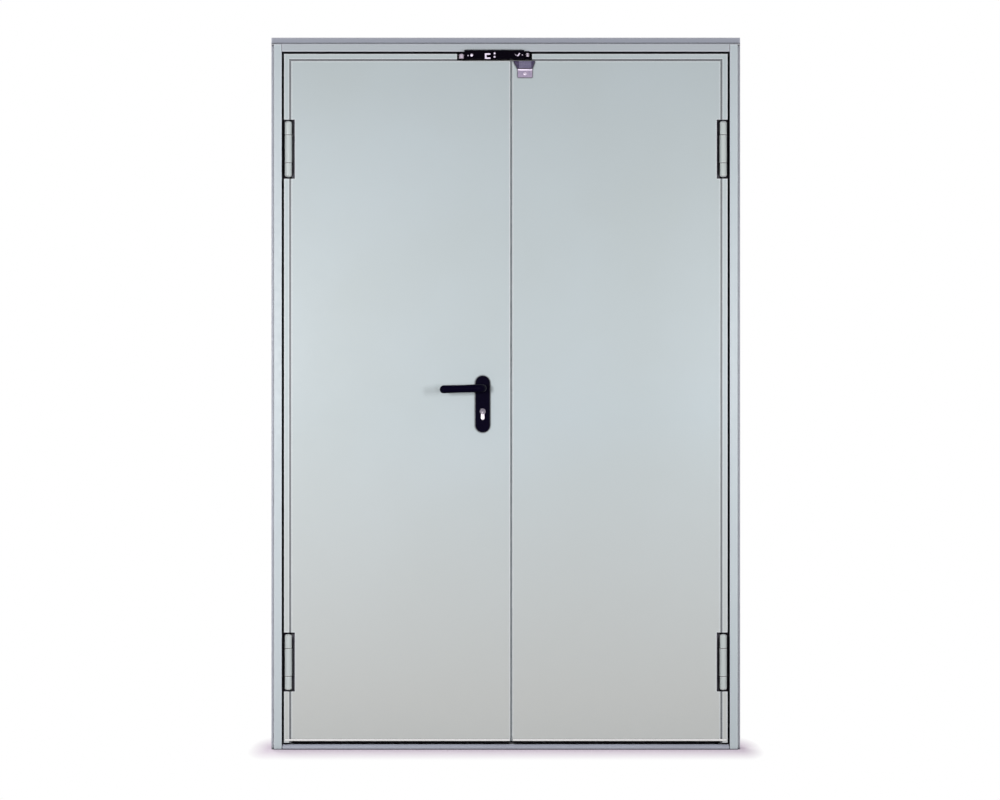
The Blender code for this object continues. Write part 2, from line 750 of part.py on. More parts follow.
def make_spring(arm_axis, low, high):
    """The wire spring round the pin, between the arm's eye and the upper ear."""
    first, last = low + spring_wire, high - spring_wire
    behind_arm = arm_thickness / 2 + fit + spring_wire
    steps = round(16 * spring_turns)
    coil = []
    for step in range(steps + 1):
        share = step / steps
        angle = math.radians(90 - 360 * spring_turns * share)
        coil.append((spring_radius * math.cos(angle), spring_radius * math.sin(angle),
                     first + (last - first) * share, 1))
    arm_leg = [(-spring_radius - spring_leg, behind_arm, first, 1), (-spring_radius, behind_arm, first, 1)]
    base_leg = [(-spring_radius, spring_leg, last, 1)]
    tube("selector_spring", arm_leg + coil + base_leg, spring_wire, 1, bright_metal, arm_axis)


def make_roller(arm_axis):
    """The roller with its chamfered rims, on an axle through the fork."""
    axle = cylinder(axle_radius, arm_bottom, arm_top)
    add_piece("selector_axle", axle, bright_metal, arm_axis, (-arm_reach, 0, 0))
    low = arm_bottom + roller_wall + fit
    high = arm_top - roller_wall - fit
    bore = axle_radius + fit
    rim = roller_radius - roller_chamfer
    profile = [(bore, low), (rim, low), (roller_radius, low + roller_chamfer),
               (roller_radius, high - roller_chamfer), (rim, high), (bore, high), (bore, low)]
    add_piece("selector_roller", turned(profile), pale_plastic, arm_axis, (-arm_reach, 0, 0), smooth=True)


def make_web(arm_axis):
    """The arm's front web, which stands before the head's face. It runs from the ears to the roller."""
    root = -arm_thickness / 2 + fit
    back = web_thickness - web_front
    web_top = arm_top + web_rise
    profile = [(-web_front, arm_bottom), (root, arm_bottom), (root, arm_top), (back, arm_top),
               (back, web_top), (-web_front, web_top)]
    far_end = roller_radius + pivot_clearance - arm_reach
    web = flat_shape([profile], far_end, -web_start)
    return add_cutter("selector_web", web, arm_axis, rotation=(math.radians(90), 0, math.radians(90)))


def make_slide(arm_axis, centre, back):
    """The silver slide on the arm's face, a short channel seen from its open side."""
    low, high = arm_bottom + fit, arm_top - fit
    bm = box((centre - slide_width / 2, back - slide_thickness, low),
             (centre + slide_width / 2, back, high))
    slide = add_piece("selector_slide", bm, bright_metal, arm_axis)
    middle = (low + high) / 2
    mouth = box((centre - slide_width / 5, back - 2 * slide_thickness, middle - (high - low) / 4),
                (centre + slide_width, back + slide_thickness, middle + (high - low) / 4))
    cut([slide], add_cutter("selector_slide_mouth", mouth, arm_axis))


def make_catch(axis):
    """The tapered catch and the tab below it, on the passive leaf's face."""
    top = body_top - fit
    low = top - catch_height
    left = passive_edge + catch_inset - hinge_x
    right = left + catch_width
    outline = [(left, top), (left + catch_left_taper, low), (right - catch_right_taper, low),
               (right, top)]
    upright = (math.radians(90), 0, 0)
    start = (0, hinge_proud - fit, 0)
    bm = merge_flats(flat_shape([outline], 0, catch_thickness))
    round_edges(bm, catch_thickness / 4, lambda co: near(co.z, catch_thickness), segments=2)
    add_piece("selector_catch", bm, dark_plastic, axis, start, upright)
    tab_left = left + catch_left_taper
    bm = box((tab_left, low - fit - tab_height, 0), (tab_left + tab_width, low - fit, tab_thickness))
    round_edges(bm, tab_thickness / 3, lambda co: near(co.z, tab_thickness), segments=2)
    add_piece("selector_catch_tab", bm, bright_metal, axis, start, upright)


for old in list(bpy.data.objects):
    bpy.data.objects.remove(old)
door = add_collection("double_fire_door")
cutters = add_collection("cutters")

frame_paint = add_material("frame_paint", (0.53, 0.58, 0.63), 0.45, 0.0)
threshold_paint = add_material("threshold_paint", (0.45, 0.49, 0.54), 0.40, 0.2)
leaf_paint = add_material("leaf_paint", (0.56, 0.60, 0.61), 0.45, 0.0)
hinge_paint = add_material("hinge_paint", (0.60, 0.64, 0.65), 0.40, 0.0)
core_board = add_material("core_board", (0.08, 0.08, 0.09), 0.95, 0.0)
seal_rubber = add_material("seal_rubber", (0.02, 0.02, 0.025), 0.85, 0.0)
black_metal = add_material("black_metal", (0.012, 0.010, 0.016), 0.40, 0.3)
bright_metal = add_material("bright_metal", (0.75, 0.72, 0.76), 0.30, 1.0)
dark_steel = add_material("dark_steel", (0.25, 0.25, 0.27), 0.40, 1.0)
pale_plastic = add_material("pale_plastic", (0.72, 0.66, 0.74), 0.50, 0.0)
dark_plastic = add_material("dark_plastic", (0.10, 0.09, 0.14), 0.45, 0.0)

# Everything hangs on the plane of the leaves' faces, half the frame's depth before the origin
front = add_empty("front_plane", (0, -frame_depth / 2, 0))
make_frame()

leaf_layers = {}
leaf_axes = {}
for name, side, width in (("active", LEFT, active_width), ("passive", RIGHT, passive_width)):
    leaf_axes[name] = add_empty(f"{name}_leaf_axis", (side * hinge_x, -hinge_proud, 0), front)
    leaf_layers[name] = make_leaf(name, side, width, leaf_axes[name])
    frame_side = add_empty(f"{name}_hinge_line", (side * hinge_x, -hinge_proud, 0), front)
    for place, height in zip(("lower", "upper"), hinge_heights):
        make_hinge(f"{name}_{place}", side, frame_side, leaf_axes[name], height)
notch = box((notch_left, -lip_thickness, body_top + fit),
            (notch_right, lip_thickness + fit, frame_height))
notch_cutter = add_cutter("selector_notch", notch, front)
cut(leaf_layers["active"] + leaf_layers["passive"], notch_cutter)

make_lock(leaf_layers["active"], leaf_axes["active"])
start, turn, (half_bolt, bolt_low) = make_edge_furniture(
    "lock_forend", leaf_axes["active"], leaf_layers["active"], active_width, LEFT)
bolt = box((-2 * forend_thickness, -half_bolt, bolt_low), (bolt_proud, half_bolt, bolt_low + bolt_height))
add_piece("latch_bolt", bolt, bright_metal, leaf_axes["active"], start, turn)
make_edge_furniture("strike_plate", leaf_axes["passive"], leaf_layers["passive"], passive_width, RIGHT)

seal_start = reach_of(active_width) + fit
seal = box((seal_start, meeting_seal_depth, body_bottom),
           (reach_of(active_width) + meeting_gap - fit, meeting_seal_depth + meeting_seal_width, body_top))
add_piece("meeting_seal", seal, seal_rubber, leaf_axes["active"], (0, hinge_proud, 0))

make_selector()
make_catch(leaf_axes["passive"])
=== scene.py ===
# %% [markdown]
# # A double fire door in painted steel
#
# The door has two flat steel leaves in a folded steel frame. What makes it look real is not its outline,
# which is almost a drawing of rectangles, but its paint, its black gaps, its small hardware and the soft
# light on it.
#
# The CAD model gives every solid its place. Here each one gets its finish, and the small hardware that a
# plain solid can't show is modelled again in the same place.

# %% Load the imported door
import math

import bmesh
import bpy
from mathutils import Matrix, Vector


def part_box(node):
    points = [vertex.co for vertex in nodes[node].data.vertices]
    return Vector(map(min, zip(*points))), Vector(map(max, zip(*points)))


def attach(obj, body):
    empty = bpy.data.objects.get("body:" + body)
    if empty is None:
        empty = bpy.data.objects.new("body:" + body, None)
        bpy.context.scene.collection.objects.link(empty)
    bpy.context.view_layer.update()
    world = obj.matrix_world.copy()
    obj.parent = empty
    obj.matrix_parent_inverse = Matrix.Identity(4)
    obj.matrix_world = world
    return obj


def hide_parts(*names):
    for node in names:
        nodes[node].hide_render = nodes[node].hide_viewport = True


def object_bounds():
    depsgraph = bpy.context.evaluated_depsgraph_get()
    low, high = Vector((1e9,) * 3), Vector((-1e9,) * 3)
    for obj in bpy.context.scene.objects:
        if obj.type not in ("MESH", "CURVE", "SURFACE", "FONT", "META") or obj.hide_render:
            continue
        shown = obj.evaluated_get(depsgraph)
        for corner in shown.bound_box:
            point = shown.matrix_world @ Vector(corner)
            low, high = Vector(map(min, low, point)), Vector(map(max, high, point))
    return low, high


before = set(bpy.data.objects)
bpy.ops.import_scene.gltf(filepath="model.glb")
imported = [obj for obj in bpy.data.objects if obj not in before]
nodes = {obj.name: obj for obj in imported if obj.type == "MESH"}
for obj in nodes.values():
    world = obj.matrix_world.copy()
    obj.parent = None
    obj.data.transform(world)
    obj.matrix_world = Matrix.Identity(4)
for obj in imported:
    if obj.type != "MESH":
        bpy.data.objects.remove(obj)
cad_low, cad_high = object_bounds()
print("CAD box, millimetres:", [round(1000 * size) for size in cad_high - cad_low])

# %% [markdown]
# ## Camera
#
# The frame's upright edges stay parallel in the photograph, so the camera looked straight at the door
# from a long way off. A short lens would show the reveals, and an orthographic camera would lose the
# slight parallax of the handle, so this is a long lens nine metres away. Its focal length follows from
# the width that the picture shows.

# %% Camera square on to the leaves
door_plane = -0.046
picture_width = 2.877
camera_distance = 9.0
camera_aim = Vector((-0.0167, door_plane, 1.0063))

camera_data = bpy.data.cameras.new("camera")
camera_data.sensor_width = 36
camera_data.lens = camera_data.sensor_width * camera_distance / picture_width
camera = bpy.data.objects.new("camera", camera_data)
camera.location = camera_aim - Vector((0, camera_distance, 0))
camera.rotation_euler = (math.radians(90), 0, 0)
bpy.context.scene.collection.objects.link(camera)
bpy.context.scene.camera = camera
print("lens, millimetres:", round(camera_data.lens, 1))

# %% [markdown]
# ## Light
#
# In the photograph the jambs are brightest at handle height and fade towards head and floor, and the
# leaves are brighter at their outer edges than in the middle. That is the mark of two soft boxes, one at
# each side, about two metres before the door, and the left one stronger. A farther lamp, low on the
# right, adds the lever's shadow on its upper left, and one behind lights the back. Together they give a
# level at which a paint renders about as its colour is written.
#
# The white background comes from the kind of ray. Only what the camera sees, itself or in metal or glass,
# is white. The light that falls on the door is much weaker, so that it doesn't wash the paint out.

# %% White surround
def backdrop_share(tree):
    """1 for what the camera sees, itself or in metal or glass, and 0 for the light on the door."""
    ray = tree.nodes.new("ShaderNodeLightPath")
    share = ray.outputs["Is Camera Ray"]
    for kind in ("Is Glossy Ray", "Is Transmission Ray"):
        either = tree.nodes.new("ShaderNodeMath")
        either.operation = "MAXIMUM"
        tree.links.new(share, either.inputs[0])
        tree.links.new(ray.outputs[kind], either.inputs[1])
        share = either.outputs[0]
    return share


def add_world(colour, strength):
    world = bpy.data.worlds.new("room")
    world.use_nodes = True
    tree = world.node_tree
    surround = tree.nodes["Background"]
    surround.inputs["Color"].default_value = colour
    surround.inputs["Strength"].default_value = strength
    backdrop = tree.nodes.new("ShaderNodeBackground")
    backdrop.inputs["Color"].default_value = (1, 1, 1, 1)
    mix = tree.nodes.new("ShaderNodeMixShader")
    tree.links.new(backdrop_share(tree), mix.inputs["Fac"])
    tree.links.new(surround.outputs[0], mix.inputs[1])
    tree.links.new(backdrop.outputs[0], mix.inputs[2])
    tree.links.new(mix.outputs[0], tree.nodes["World Output"].inputs["Surface"])
    bpy.context.scene.world = world


room_colour = (0.96, 0.98, 1.0, 1)
room_strength = 0.24
add_world(room_colour, room_strength)
print("light from the room:", room_strength)


# %% Soft lamps
def add_soft_lamp(name, place, aim, width, height, power):
    data = bpy.data.lights.new(name, "AREA")
    data.shape = "RECTANGLE"
    data.size = width
    data.size_y = height
    data.energy = power
    lamp = bpy.data.objects.new(name, data)
    lamp.location = place
    lamp.rotation_euler = (Vector(aim) - Vector(place)).to_track_quat("-Z", "Y").to_euler()
    lamp.visible_camera = False
    bpy.context.scene.collection.objects.link(lamp)


lamp_height = 1.17
box_size = (0.35, 0.5)
door_middle = (0, 0, 1.0)
add_soft_lamp("left_box", (-1.05, -2.45, lamp_height), (-1.3, 0, lamp_height), *box_size, 37)
add_soft_lamp("right_box", (1.2, -1.9, lamp_height), (1.3, 0, lamp_height), *box_size, 17)
add_soft_lamp("window_lamp", (2.6, -10.5, 0.4), door_middle, 0.9, 0.9, 115)
add_soft_lamp("back_lamp", (-2.5, 6.5, 2.2), door_middle, 2.2, 2.2, 400)
print("lamps:", [lamp.name for lamp in bpy.data.lights])

# %% [markdown]
# ## Floor
#
# The floor in the photograph is pure white, apart from a faint pinkish shadow in the last hand's breadth
# before the threshold. A white paint alone would render a little grey, so close to the door the floor
# also glows, and the shadow still shows in the painted share. Paint and glow stay a little pinkish grey
# near the door even where no shadow falls, so that band is partly a painted shadow. Farther out it turns
# into the plain white of the backdrop. The distance is measured from the door's outline on the floor, so
# the painted band has the door's shape. It counts four times as fast sideways, where the photograph shows
# hardly any shadow. Light that falls on the floor and back on the door meets a third colour, which only
# tints that light.

# %% White floor that keeps the shadow
floor_paint = (0.60, 0.56, 0.60, 1)
floor_glow = (0.29, 0.235, 0.285, 1)
floor_bounce = (0.40, 0.36, 0.34, 1)
shadow_from, shadow_to = 0.04, 0.26
sideways = 4
floor_reach = 60


def floor_finish():
    material = bpy.data.materials.new("white_floor")
    material.use_nodes = True
    tree = material.node_tree
    tree.nodes.remove(tree.nodes["Principled BSDF"])
    paint = tree.nodes.new("ShaderNodeBsdfDiffuse")
    paint.inputs["Color"].default_value = floor_paint
    glow = tree.nodes.new("ShaderNodeEmission")
    glow.inputs["Color"].default_value = floor_glow
    both = tree.nodes.new("ShaderNodeAddShader")
    tree.links.new(paint.outputs[0], both.inputs[0])
    tree.links.new(glow.outputs[0], both.inputs[1])
    white = tree.nodes.new("ShaderNodeEmission")
    place = tree.nodes.new("ShaderNodeTexCoord")
    steps = place.outputs["Object"]
    for operation, other in (("ABSOLUTE", None), ("SUBTRACT", (cad_high.x, -door_plane, 0)),
                             ("MAXIMUM", (0, 0, 0)), ("MULTIPLY", (sideways, 1, 1)), ("LENGTH", None)):
        step = tree.nodes.new("ShaderNodeVectorMath")
        step.operation = operation
        tree.links.new(steps, step.inputs[0])
        if other:
            step.inputs[1].default_value = other
        steps = step.outputs["Value" if operation == "LENGTH" else "Vector"]
    away = tree.nodes.new("ShaderNodeMapRange")
    away.inputs["From Min"].default_value = shadow_from
    away.inputs["From Max"].default_value = shadow_to
    tree.links.new(steps, away.inputs["Value"])
    # Near the door the floor is paint plus glow, partly a painted shadow; farther out it is plain white.
    painted_shadow_or_white = tree.nodes.new("ShaderNodeMixShader")
    tree.links.new(away.outputs["Result"], painted_shadow_or_white.inputs["Fac"])
    tree.links.new(both.outputs[0], painted_shadow_or_white.inputs[1])
    tree.links.new(white.outputs[0], painted_shadow_or_white.inputs[2])
    bounce = tree.nodes.new("ShaderNodeBsdfDiffuse")
    bounce.inputs["Color"].default_value = floor_bounce
    pick = tree.nodes.new("ShaderNodeMixShader")
    tree.links.new(backdrop_share(tree), pick.inputs["Fac"])
    tree.links.new(bounce.outputs[0], pick.inputs[1])
    tree.links.new(painted_shadow_or_white.outputs[0], pick.inputs[2])
    tree.links.new(pick.outputs[0], tree.nodes["Material Output"].inputs["Surface"])
    return material


def add_floor(reach):
    mesh = bpy.data.meshes.new("floor")
    corners = [(-reach, -reach, 0), (reach, -reach, 0), (reach, reach, 0), (-reach, reach, 0)]
    mesh.from_pydata(corners, [], [(0, 1, 2, 3)])
    mesh.materials.append(floor_finish())
    floor = bpy.data.objects.new("floor", mesh)
    bpy.context.scene.collection.objects.link(floor)


add_floor(floor_reach)
print("floor, metres each way:", floor_reach)

# %% [markdown]
# ## Powder paint
#
# Frame and leaves are powder coated. Up close such paint has an orange peel: soft dimples about two
# millimetres apart. Along folded edges its colour is paler, a painted highlight, though on the threshold it
# is darker there, painted shade. Its gloss varies slightly. In creases and narrow gaps its colour turns
# dark grey and then near black violet, which is painted shade. The dimples are bump only, because they are
# far too shallow to change the outline. Near the floor the leaves are a little warmer in colour. The
# frame's outer strip, set back behind its face, is darker, and so is the groove between a leaf's flange
# and its front sheet: both darker colours are painted shade.
#
# The Bevel node compares the surface's direction with that of a rounded copy of it, and so finds the
# edges. The Ambient Occlusion node finds the gaps and creases, where the shade is painted. Both work on
# any mesh, with no painting by hand. Depth and height on the door do the rest, because the set-back strip,
# the groove and the warmer lower part each lie within their own band of it.

# %% Paint recipe shared by frame, leaves and hinges
def srgb(red, green, blue):
    """Picture levels from 0 to 255 as the linear colour that a shader wants."""
    def linear(level):
        share = level / 255
        return share / 12.92 if share <= 0.04045 else ((share + 0.055) / 1.055) ** 2.4
    return (linear(red), linear(green), linear(blue), 1)


def new_finish(name):
    material = bpy.data.materials.new(name)
    material.use_nodes = True
    return material, material.node_tree, material.node_tree.nodes["Principled BSDF"]


def add_bump(tree, shader, height, strength, depth):
    bump = tree.nodes.new("ShaderNodeBump")
    bump.inputs["Strength"].default_value = strength
    bump.inputs["Distance"].default_value = depth
    tree.links.new(height, bump.inputs["Height"])
    tree.links.new(bump.outputs[0], shader.inputs["Normal"])


def add_noise(tree, scale, detail, stretch=(1, 1, 1)):
    """Noise in the door's own metres: scale is about how many blotches there are to a metre."""
    place = tree.nodes.new("ShaderNodeTexCoord")
    mapping = tree.nodes.new("ShaderNodeMapping")
    mapping.inputs["Scale"].default_value = stretch
    noise = tree.nodes.new("ShaderNodeTexNoise")
    noise.inputs["Scale"].default_value = scale
    noise.inputs["Detail"].default_value = detail
    tree.links.new(place.outputs["Object"], mapping.inputs["Vector"])
    tree.links.new(mapping.outputs[0], noise.inputs["Vector"])
    return noise.outputs["Fac"]


def add_range(tree, value, from_low, from_high, to_low, to_high):
    ranged = tree.nodes.new("ShaderNodeMapRange")
    ranged.inputs["From Min"].default_value = from_low
    ranged.inputs["From Max"].default_value = from_high
    ranged.inputs["To Min"].default_value = to_low
    ranged.inputs["To Max"].default_value = to_high
    tree.links.new(value, ranged.inputs["Value"])
    return ranged.outputs["Result"]


def add_uneven_gloss(tree, shader, scale, gloss):
    """Roughness that wanders between two values."""
    rough = add_range(tree, add_noise(tree, scale, 2), 0.3, 0.7, *gloss)
    tree.links.new(rough, shader.inputs["Roughness"])


def add_mix(tree, share, first, second):
    """Mix two colours. Each is a colour or an output, and the share an output."""
    mix = tree.nodes.new("ShaderNodeMix")
    mix.data_type = "RGBA"
    tree.links.new(share, mix.inputs["Factor"])
    for socket, colour in ((mix.inputs["A"], first), (mix.inputs["B"], second)):
        if isinstance(colour, bpy.types.NodeSocket):
            tree.links.new(colour, socket)
        else:
            socket.default_value = colour
    return mix.outputs["Result"]


def edge_share(tree, radius):
    """1 along edges, fading to 0 within the radius."""
    rounded = tree.nodes.new("ShaderNodeBevel")
    rounded.samples = 6
    rounded.inputs["Radius"].default_value = radius
    real = tree.nodes.new("ShaderNodeNewGeometry")
    alike = tree.nodes.new("ShaderNodeVectorMath")
    alike.operation = "DOT_PRODUCT"
    tree.links.new(rounded.outputs[0], alike.inputs[0])
    tree.links.new(real.outputs["Normal"], alike.inputs[1])
    return add_range(tree, alike.outputs["Value"], 0.995, 0.85, 0, 1)


def gap_share(tree, distance, open_from, closed_from):
    """1 deep in a gap, 0 on an open face, for gaps about as wide as the distance."""
    shade = tree.nodes.new("ShaderNodeAmbientOcclusion")
    shade.samples = 8
    shade.inputs["Distance"].default_value = distance
    return add_range(tree, shade.outputs["AO"], open_from, closed_from, 0, 1)


def place_share(tree, axis, none_at, full_at):
    """0 at one coordinate of the door's own axis, rising to 1 at the other."""
    place = tree.nodes.new("ShaderNodeTexCoord")
    split = tree.nodes.new("ShaderNodeSeparateXYZ")
    tree.links.new(place.outputs["Object"], split.inputs[0])
    return add_range(tree, split.outputs[axis], none_at, full_at, 0, 1)


def side_wall_share(tree):
    """0 on faces that look to the front or back, 1 on walls that run back from them."""
    real = tree.nodes.new("ShaderNodeNewGeometry")
    split = tree.nodes.new("ShaderNodeSeparateXYZ")
    tree.links.new(real.outputs["True Normal"], split.inputs[0])
    size = tree.nodes.new("ShaderNodeMath")
    size.operation = "ABSOLUTE"
    tree.links.new(split.outputs["Y"], size.inputs[0])
    return add_range(tree, size.outputs[0], 0.85, 0.5, 0, 1)


# The two violets are painted shade, near black, for narrow and deep gaps.
gap_shade_violet = srgb(18, 6, 28)
deep_shade_violet = srgb(14, 6, 22)
# Depth bands for the set-back strip and the groove, whose darker colours are painted shade.
set_back_depth = (-0.0425, -0.0385)
groove_front = (-0.0454, -0.0447)
groove_back = (-0.0420, -0.0405)
lower_tint_height = (0.95, 0.15)


def powder_paint(name, colour, edge_shading_colour, cloud_colour, crease_shade_colour,
                 set_back_shade_colour=None, low_colour=None, groove_shade_colour=None, gap_wall_shade_colour=None,
                 gloss=(0.40, 0.52)):
    """One paint: painted edge shading, painted shade in creases, gaps, strip and groove, and a lower tint.
    """
    material, tree, shader = new_finish(name)
    clouds = add_range(tree, add_noise(tree, 1.6, 3), 0.35, 0.65, 0, 1)
    body = add_mix(tree, clouds, colour, cloud_colour)
    # The set-back strip gets a darker colour by its depth: painted shade.
    if set_back_shade_colour:
        body = add_mix(tree, place_share(tree, "Y", *set_back_depth), body, set_back_shade_colour)
    # Towards the bottom the leaves turn a little warmer in colour.
    if low_colour:
        body = add_mix(tree, place_share(tree, "Z", *lower_tint_height), body, low_colour)
    # Edges take edge_shading_colour: a painted highlight where it is paler than the paint, painted shade
    # where it is darker.
    body = add_mix(tree, edge_share(tree, 0.006), body, edge_shading_colour)
    # The groove between flange and front sheet gets a darker colour by its depth: painted shade.
    if groove_shade_colour:
        grooved = add_mix(tree, place_share(tree, "Y", *groove_front), body, groove_shade_colour)
        body = add_mix(tree, place_share(tree, "Y", *groove_back), grooved, body)
    # Creases and gaps take darker colours through ambient occlusion: painted shade.
    creased = add_mix(tree, gap_share(tree, 0.006, 0.95, 0.6), body, crease_shade_colour)
    # Walls inside narrow gaps turn near black violet: painted shade.
    if gap_wall_shade_colour:
        walls = add_mix(tree, side_wall_share(tree), creased, gap_wall_shade_colour)
        creased = add_mix(tree, gap_share(tree, 0.012, 0.97, 0.82), creased, walls)
    narrow = add_mix(tree, gap_share(tree, 0.0055, 0.8, 0.55), creased, gap_shade_violet)
    painted = add_mix(tree, gap_share(tree, 0.03, 0.55, 0.32), narrow, deep_shade_violet)
    tree.links.new(painted, shader.inputs["Base Color"])
    add_uneven_gloss(tree, shader, 70, gloss)
    add_bump(tree, shader, add_noise(tree, 520, 1), 0.25, 0.0002)
    return material


leaf_paint = powder_paint("leaf_powder_paint", srgb(190, 201, 206), srgb(222, 227, 231),
                          srgb(186, 196, 199), srgb(104, 108, 112), low_colour=srgb(200, 203, 202),
                          groove_shade_colour=srgb(130, 134, 139), gloss=(0.455, 0.49))
# The hem's paint is a much paler copy of the leaf's: a painted highlight.
hem_highlight_paint = powder_paint("hem_highlight_powder_paint", srgb(236, 236, 235), srgb(246, 246, 246),
                         srgb(230, 230, 230), srgb(150, 150, 154))
frame_paint = powder_paint("frame_powder_paint", srgb(196, 206, 212), srgb(232, 238, 245),
                           srgb(191, 202, 208), srgb(120, 122, 136),
                           set_back_shade_colour=srgb(163, 165, 180), gap_wall_shade_colour=gap_shade_violet)
# The head has its own darker copy of the frame paint: painted shade, as less light reaches the top of the
# frame.
head_shaded_paint = powder_paint("head_shaded_powder_paint", srgb(186, 192, 199), srgb(210, 210, 222),
                          srgb(181, 189, 195), srgb(108, 114, 126),
                          set_back_shade_colour=srgb(157, 161, 174), gap_wall_shade_colour=gap_shade_violet)
# The threshold's edge colour is darker than its paint: painted shade along its edges.
threshold_paint = powder_paint("threshold_powder_paint", srgb(184, 189, 203), srgb(128, 128, 140),
                               srgb(170, 172, 186), srgb(70, 68, 80), gloss=(0.34, 0.5))
hinge_paint = powder_paint("hinge_powder_paint", srgb(198, 206, 207), srgb(216, 221, 222),
                           srgb(194, 202, 200), srgb(120, 128, 126), gloss=(0.34, 0.46))
paints = (leaf_paint, hem_highlight_paint, frame_paint, head_shaded_paint, threshold_paint, hinge_paint)
print("paints:", [paint.name for paint in paints])

# %% [markdown]
# ## Putting the paint on
#
# The folded sheets of the CAD model have sharp corners where the real press brake leaves a small radius,
# and a sharp corner catches no light. A Weld modifier closes the mesh that the CAD file split along its
# edges, and a Bevel modifier then rounds those corners, so the solids themselves stay as they are.

# %% Paint and rounded folds for frame, leaves and hinges
weld_distance = 0.00002
fold_angle = 40


def finish_node(name, material, corner=0.0006):
    """Give a CAD node its finish and rounded corners."""
    node = nodes[name]
    for place in node.material_slots:
        place.material = material
    weld = node.modifiers.new("close_split_edges", "WELD")
    weld.merge_threshold = weld_distance
    bevel = node.modifiers.new("rounded_corner", "BEVEL")
    bevel.width = corner
    bevel.segments = 2
    bevel.limit_method = "ANGLE"
    bevel.angle_limit = math.radians(fold_angle)


finish_node("head", head_shaded_paint)
for side in ("left", "right"):
    finish_node(f"{side}_jamb", frame_paint)
finish_node("threshold", threshold_paint, 0.0012)
for leaf in ("active", "passive"):
    for part in ("tray", "front_sheet"):
        finish_node(f"{leaf}_leaf_{part}", leaf_paint, 0.0005)
    for place in ("lower", "upper"):
        for part in ("frame_knuckles", "leaf_knuckle", "pin"):
            finish_node(f"{leaf}_{place}_hinge_{part}", hinge_paint, 0.0007)
print("painted nodes:", sum(1 for node in nodes.values() if node.modifiers))

# %% [markdown]
# ## Fire board
#
# Between the steel sheets lies a mineral board. It shows only in the hinge pockets and in the notch for
# the selector, as grey, slightly fibrous stuff in deep shade. One stretched noise gives it fibres, and a
# fine one in the bump its crumbs.

# %% Fire board in the leaves
def fire_board():
    material, tree, shader = new_finish("fire_board")
    fibres = add_range(tree, add_noise(tree, 90, 4, (1, 1, 8)), 0.3, 0.7, 0, 1)
    board_colour = add_mix(tree, fibres, srgb(92, 90, 102), srgb(118, 115, 124))
    tree.links.new(board_colour, shader.inputs["Base Color"])
    shader.inputs["Roughness"].default_value = 0.95
    add_bump(tree, shader, add_noise(tree, 700, 4), 0.6, 0.0006)
    return material


board = fire_board()
for leaf in ("active", "passive"):
    for part in ("core", "top_strip"):
        finish_node(f"{leaf}_leaf_{part}", board, 0.0004)
core_low, core_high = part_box("active_leaf_core")
print("board thickness, millimetres:", round(1000 * (core_high.y - core_low.y)))

# %% [markdown]
# ## Black handle and selector
#
# Handle and selector are black with a hint of violet. The handle is smooth moulded plastic over steel,
# and the selector is stamped steel with a thin lacquer. Pure black would swallow every edge, so a soft
# gloss stays, with a fine grain that breaks it up and a slightly paler wear where hands and edges rub.

# %% Black finishes
def black_finish(name, colour, worn_colour, gloss, grain, shine):
    material, tree, shader = new_finish(name)
    worn = add_range(tree, add_noise(tree, 260, 3), 0.45, 0.7, 0, 1)
    mixed = add_mix(tree, worn, colour, worn_colour)
    tree.links.new(add_mix(tree, edge_share(tree, 0.0012), mixed, worn_colour), shader.inputs["Base Color"])
    add_uneven_gloss(tree, shader, 45, gloss)
    shader.inputs["Specular IOR Level"].default_value = shine
    add_bump(tree, shader, add_noise(tree, grain, 2), 0.3, 0.00008)
    return material


handle_black = black_finish("handle_black", srgb(4, 1, 20), srgb(8, 4, 27), (0.32, 0.44), 2200, 0.02)
selector_black = black_finish("selector_black", srgb(3, 1, 7), srgb(10, 5, 17), (0.38, 0.55), 1400, 0.02)
catch_violet = black_finish("catch_violet", srgb(122, 116, 146), srgb(140, 134, 160), (0.4, 0.55),
                            1800, 0.2)
catch_shade = black_finish("catch_shade", srgb(66, 58, 86), srgb(88, 80, 106), (0.4, 0.55), 1800, 0.2)
dark_finishes = (handle_black, selector_black, catch_violet, catch_shade)
print("dark finishes:", [finish.name for finish in dark_finishes])

# %% [markdown]
# ## Bare metal
#
# The lock cylinder is nickel plated and turned, the plates in the leaf edges are brushed along their
# length, and the selector's small parts are zinc plated with a faint pink and blue bloom. Each is one
# metallic shader whose roughness and bump follow a stretched noise: the stretch direction is the
# direction of the brush or of the tool.

# %% Metal finishes
def metal_finish(name, colour, bloom_colour, roughness, stretch, scratches=900):
    material, tree, shader = new_finish(name)
    bloom = add_range(tree, add_noise(tree, 85, 3), 0.35, 0.65, 0, 1)
    tinted = add_mix(tree, bloom, colour, bloom_colour)
    # In crevices the metal's colour turns dark grey through ambient occlusion: painted shade.
    tree.links.new(add_mix(tree, gap_share(tree, 0.003, 0.8, 0.3), tinted, srgb(50, 44, 54)),
                   shader.inputs["Base Color"])
    shader.inputs["Metallic"].default_value = 1
    lines = add_noise(tree, scratches, 2, stretch)
    tree.links.new(add_range(tree, lines, 0.3, 0.7, *roughness), shader.inputs["Roughness"])
    add_bump(tree, shader, lines, 0.2, 0.00005)
    return material


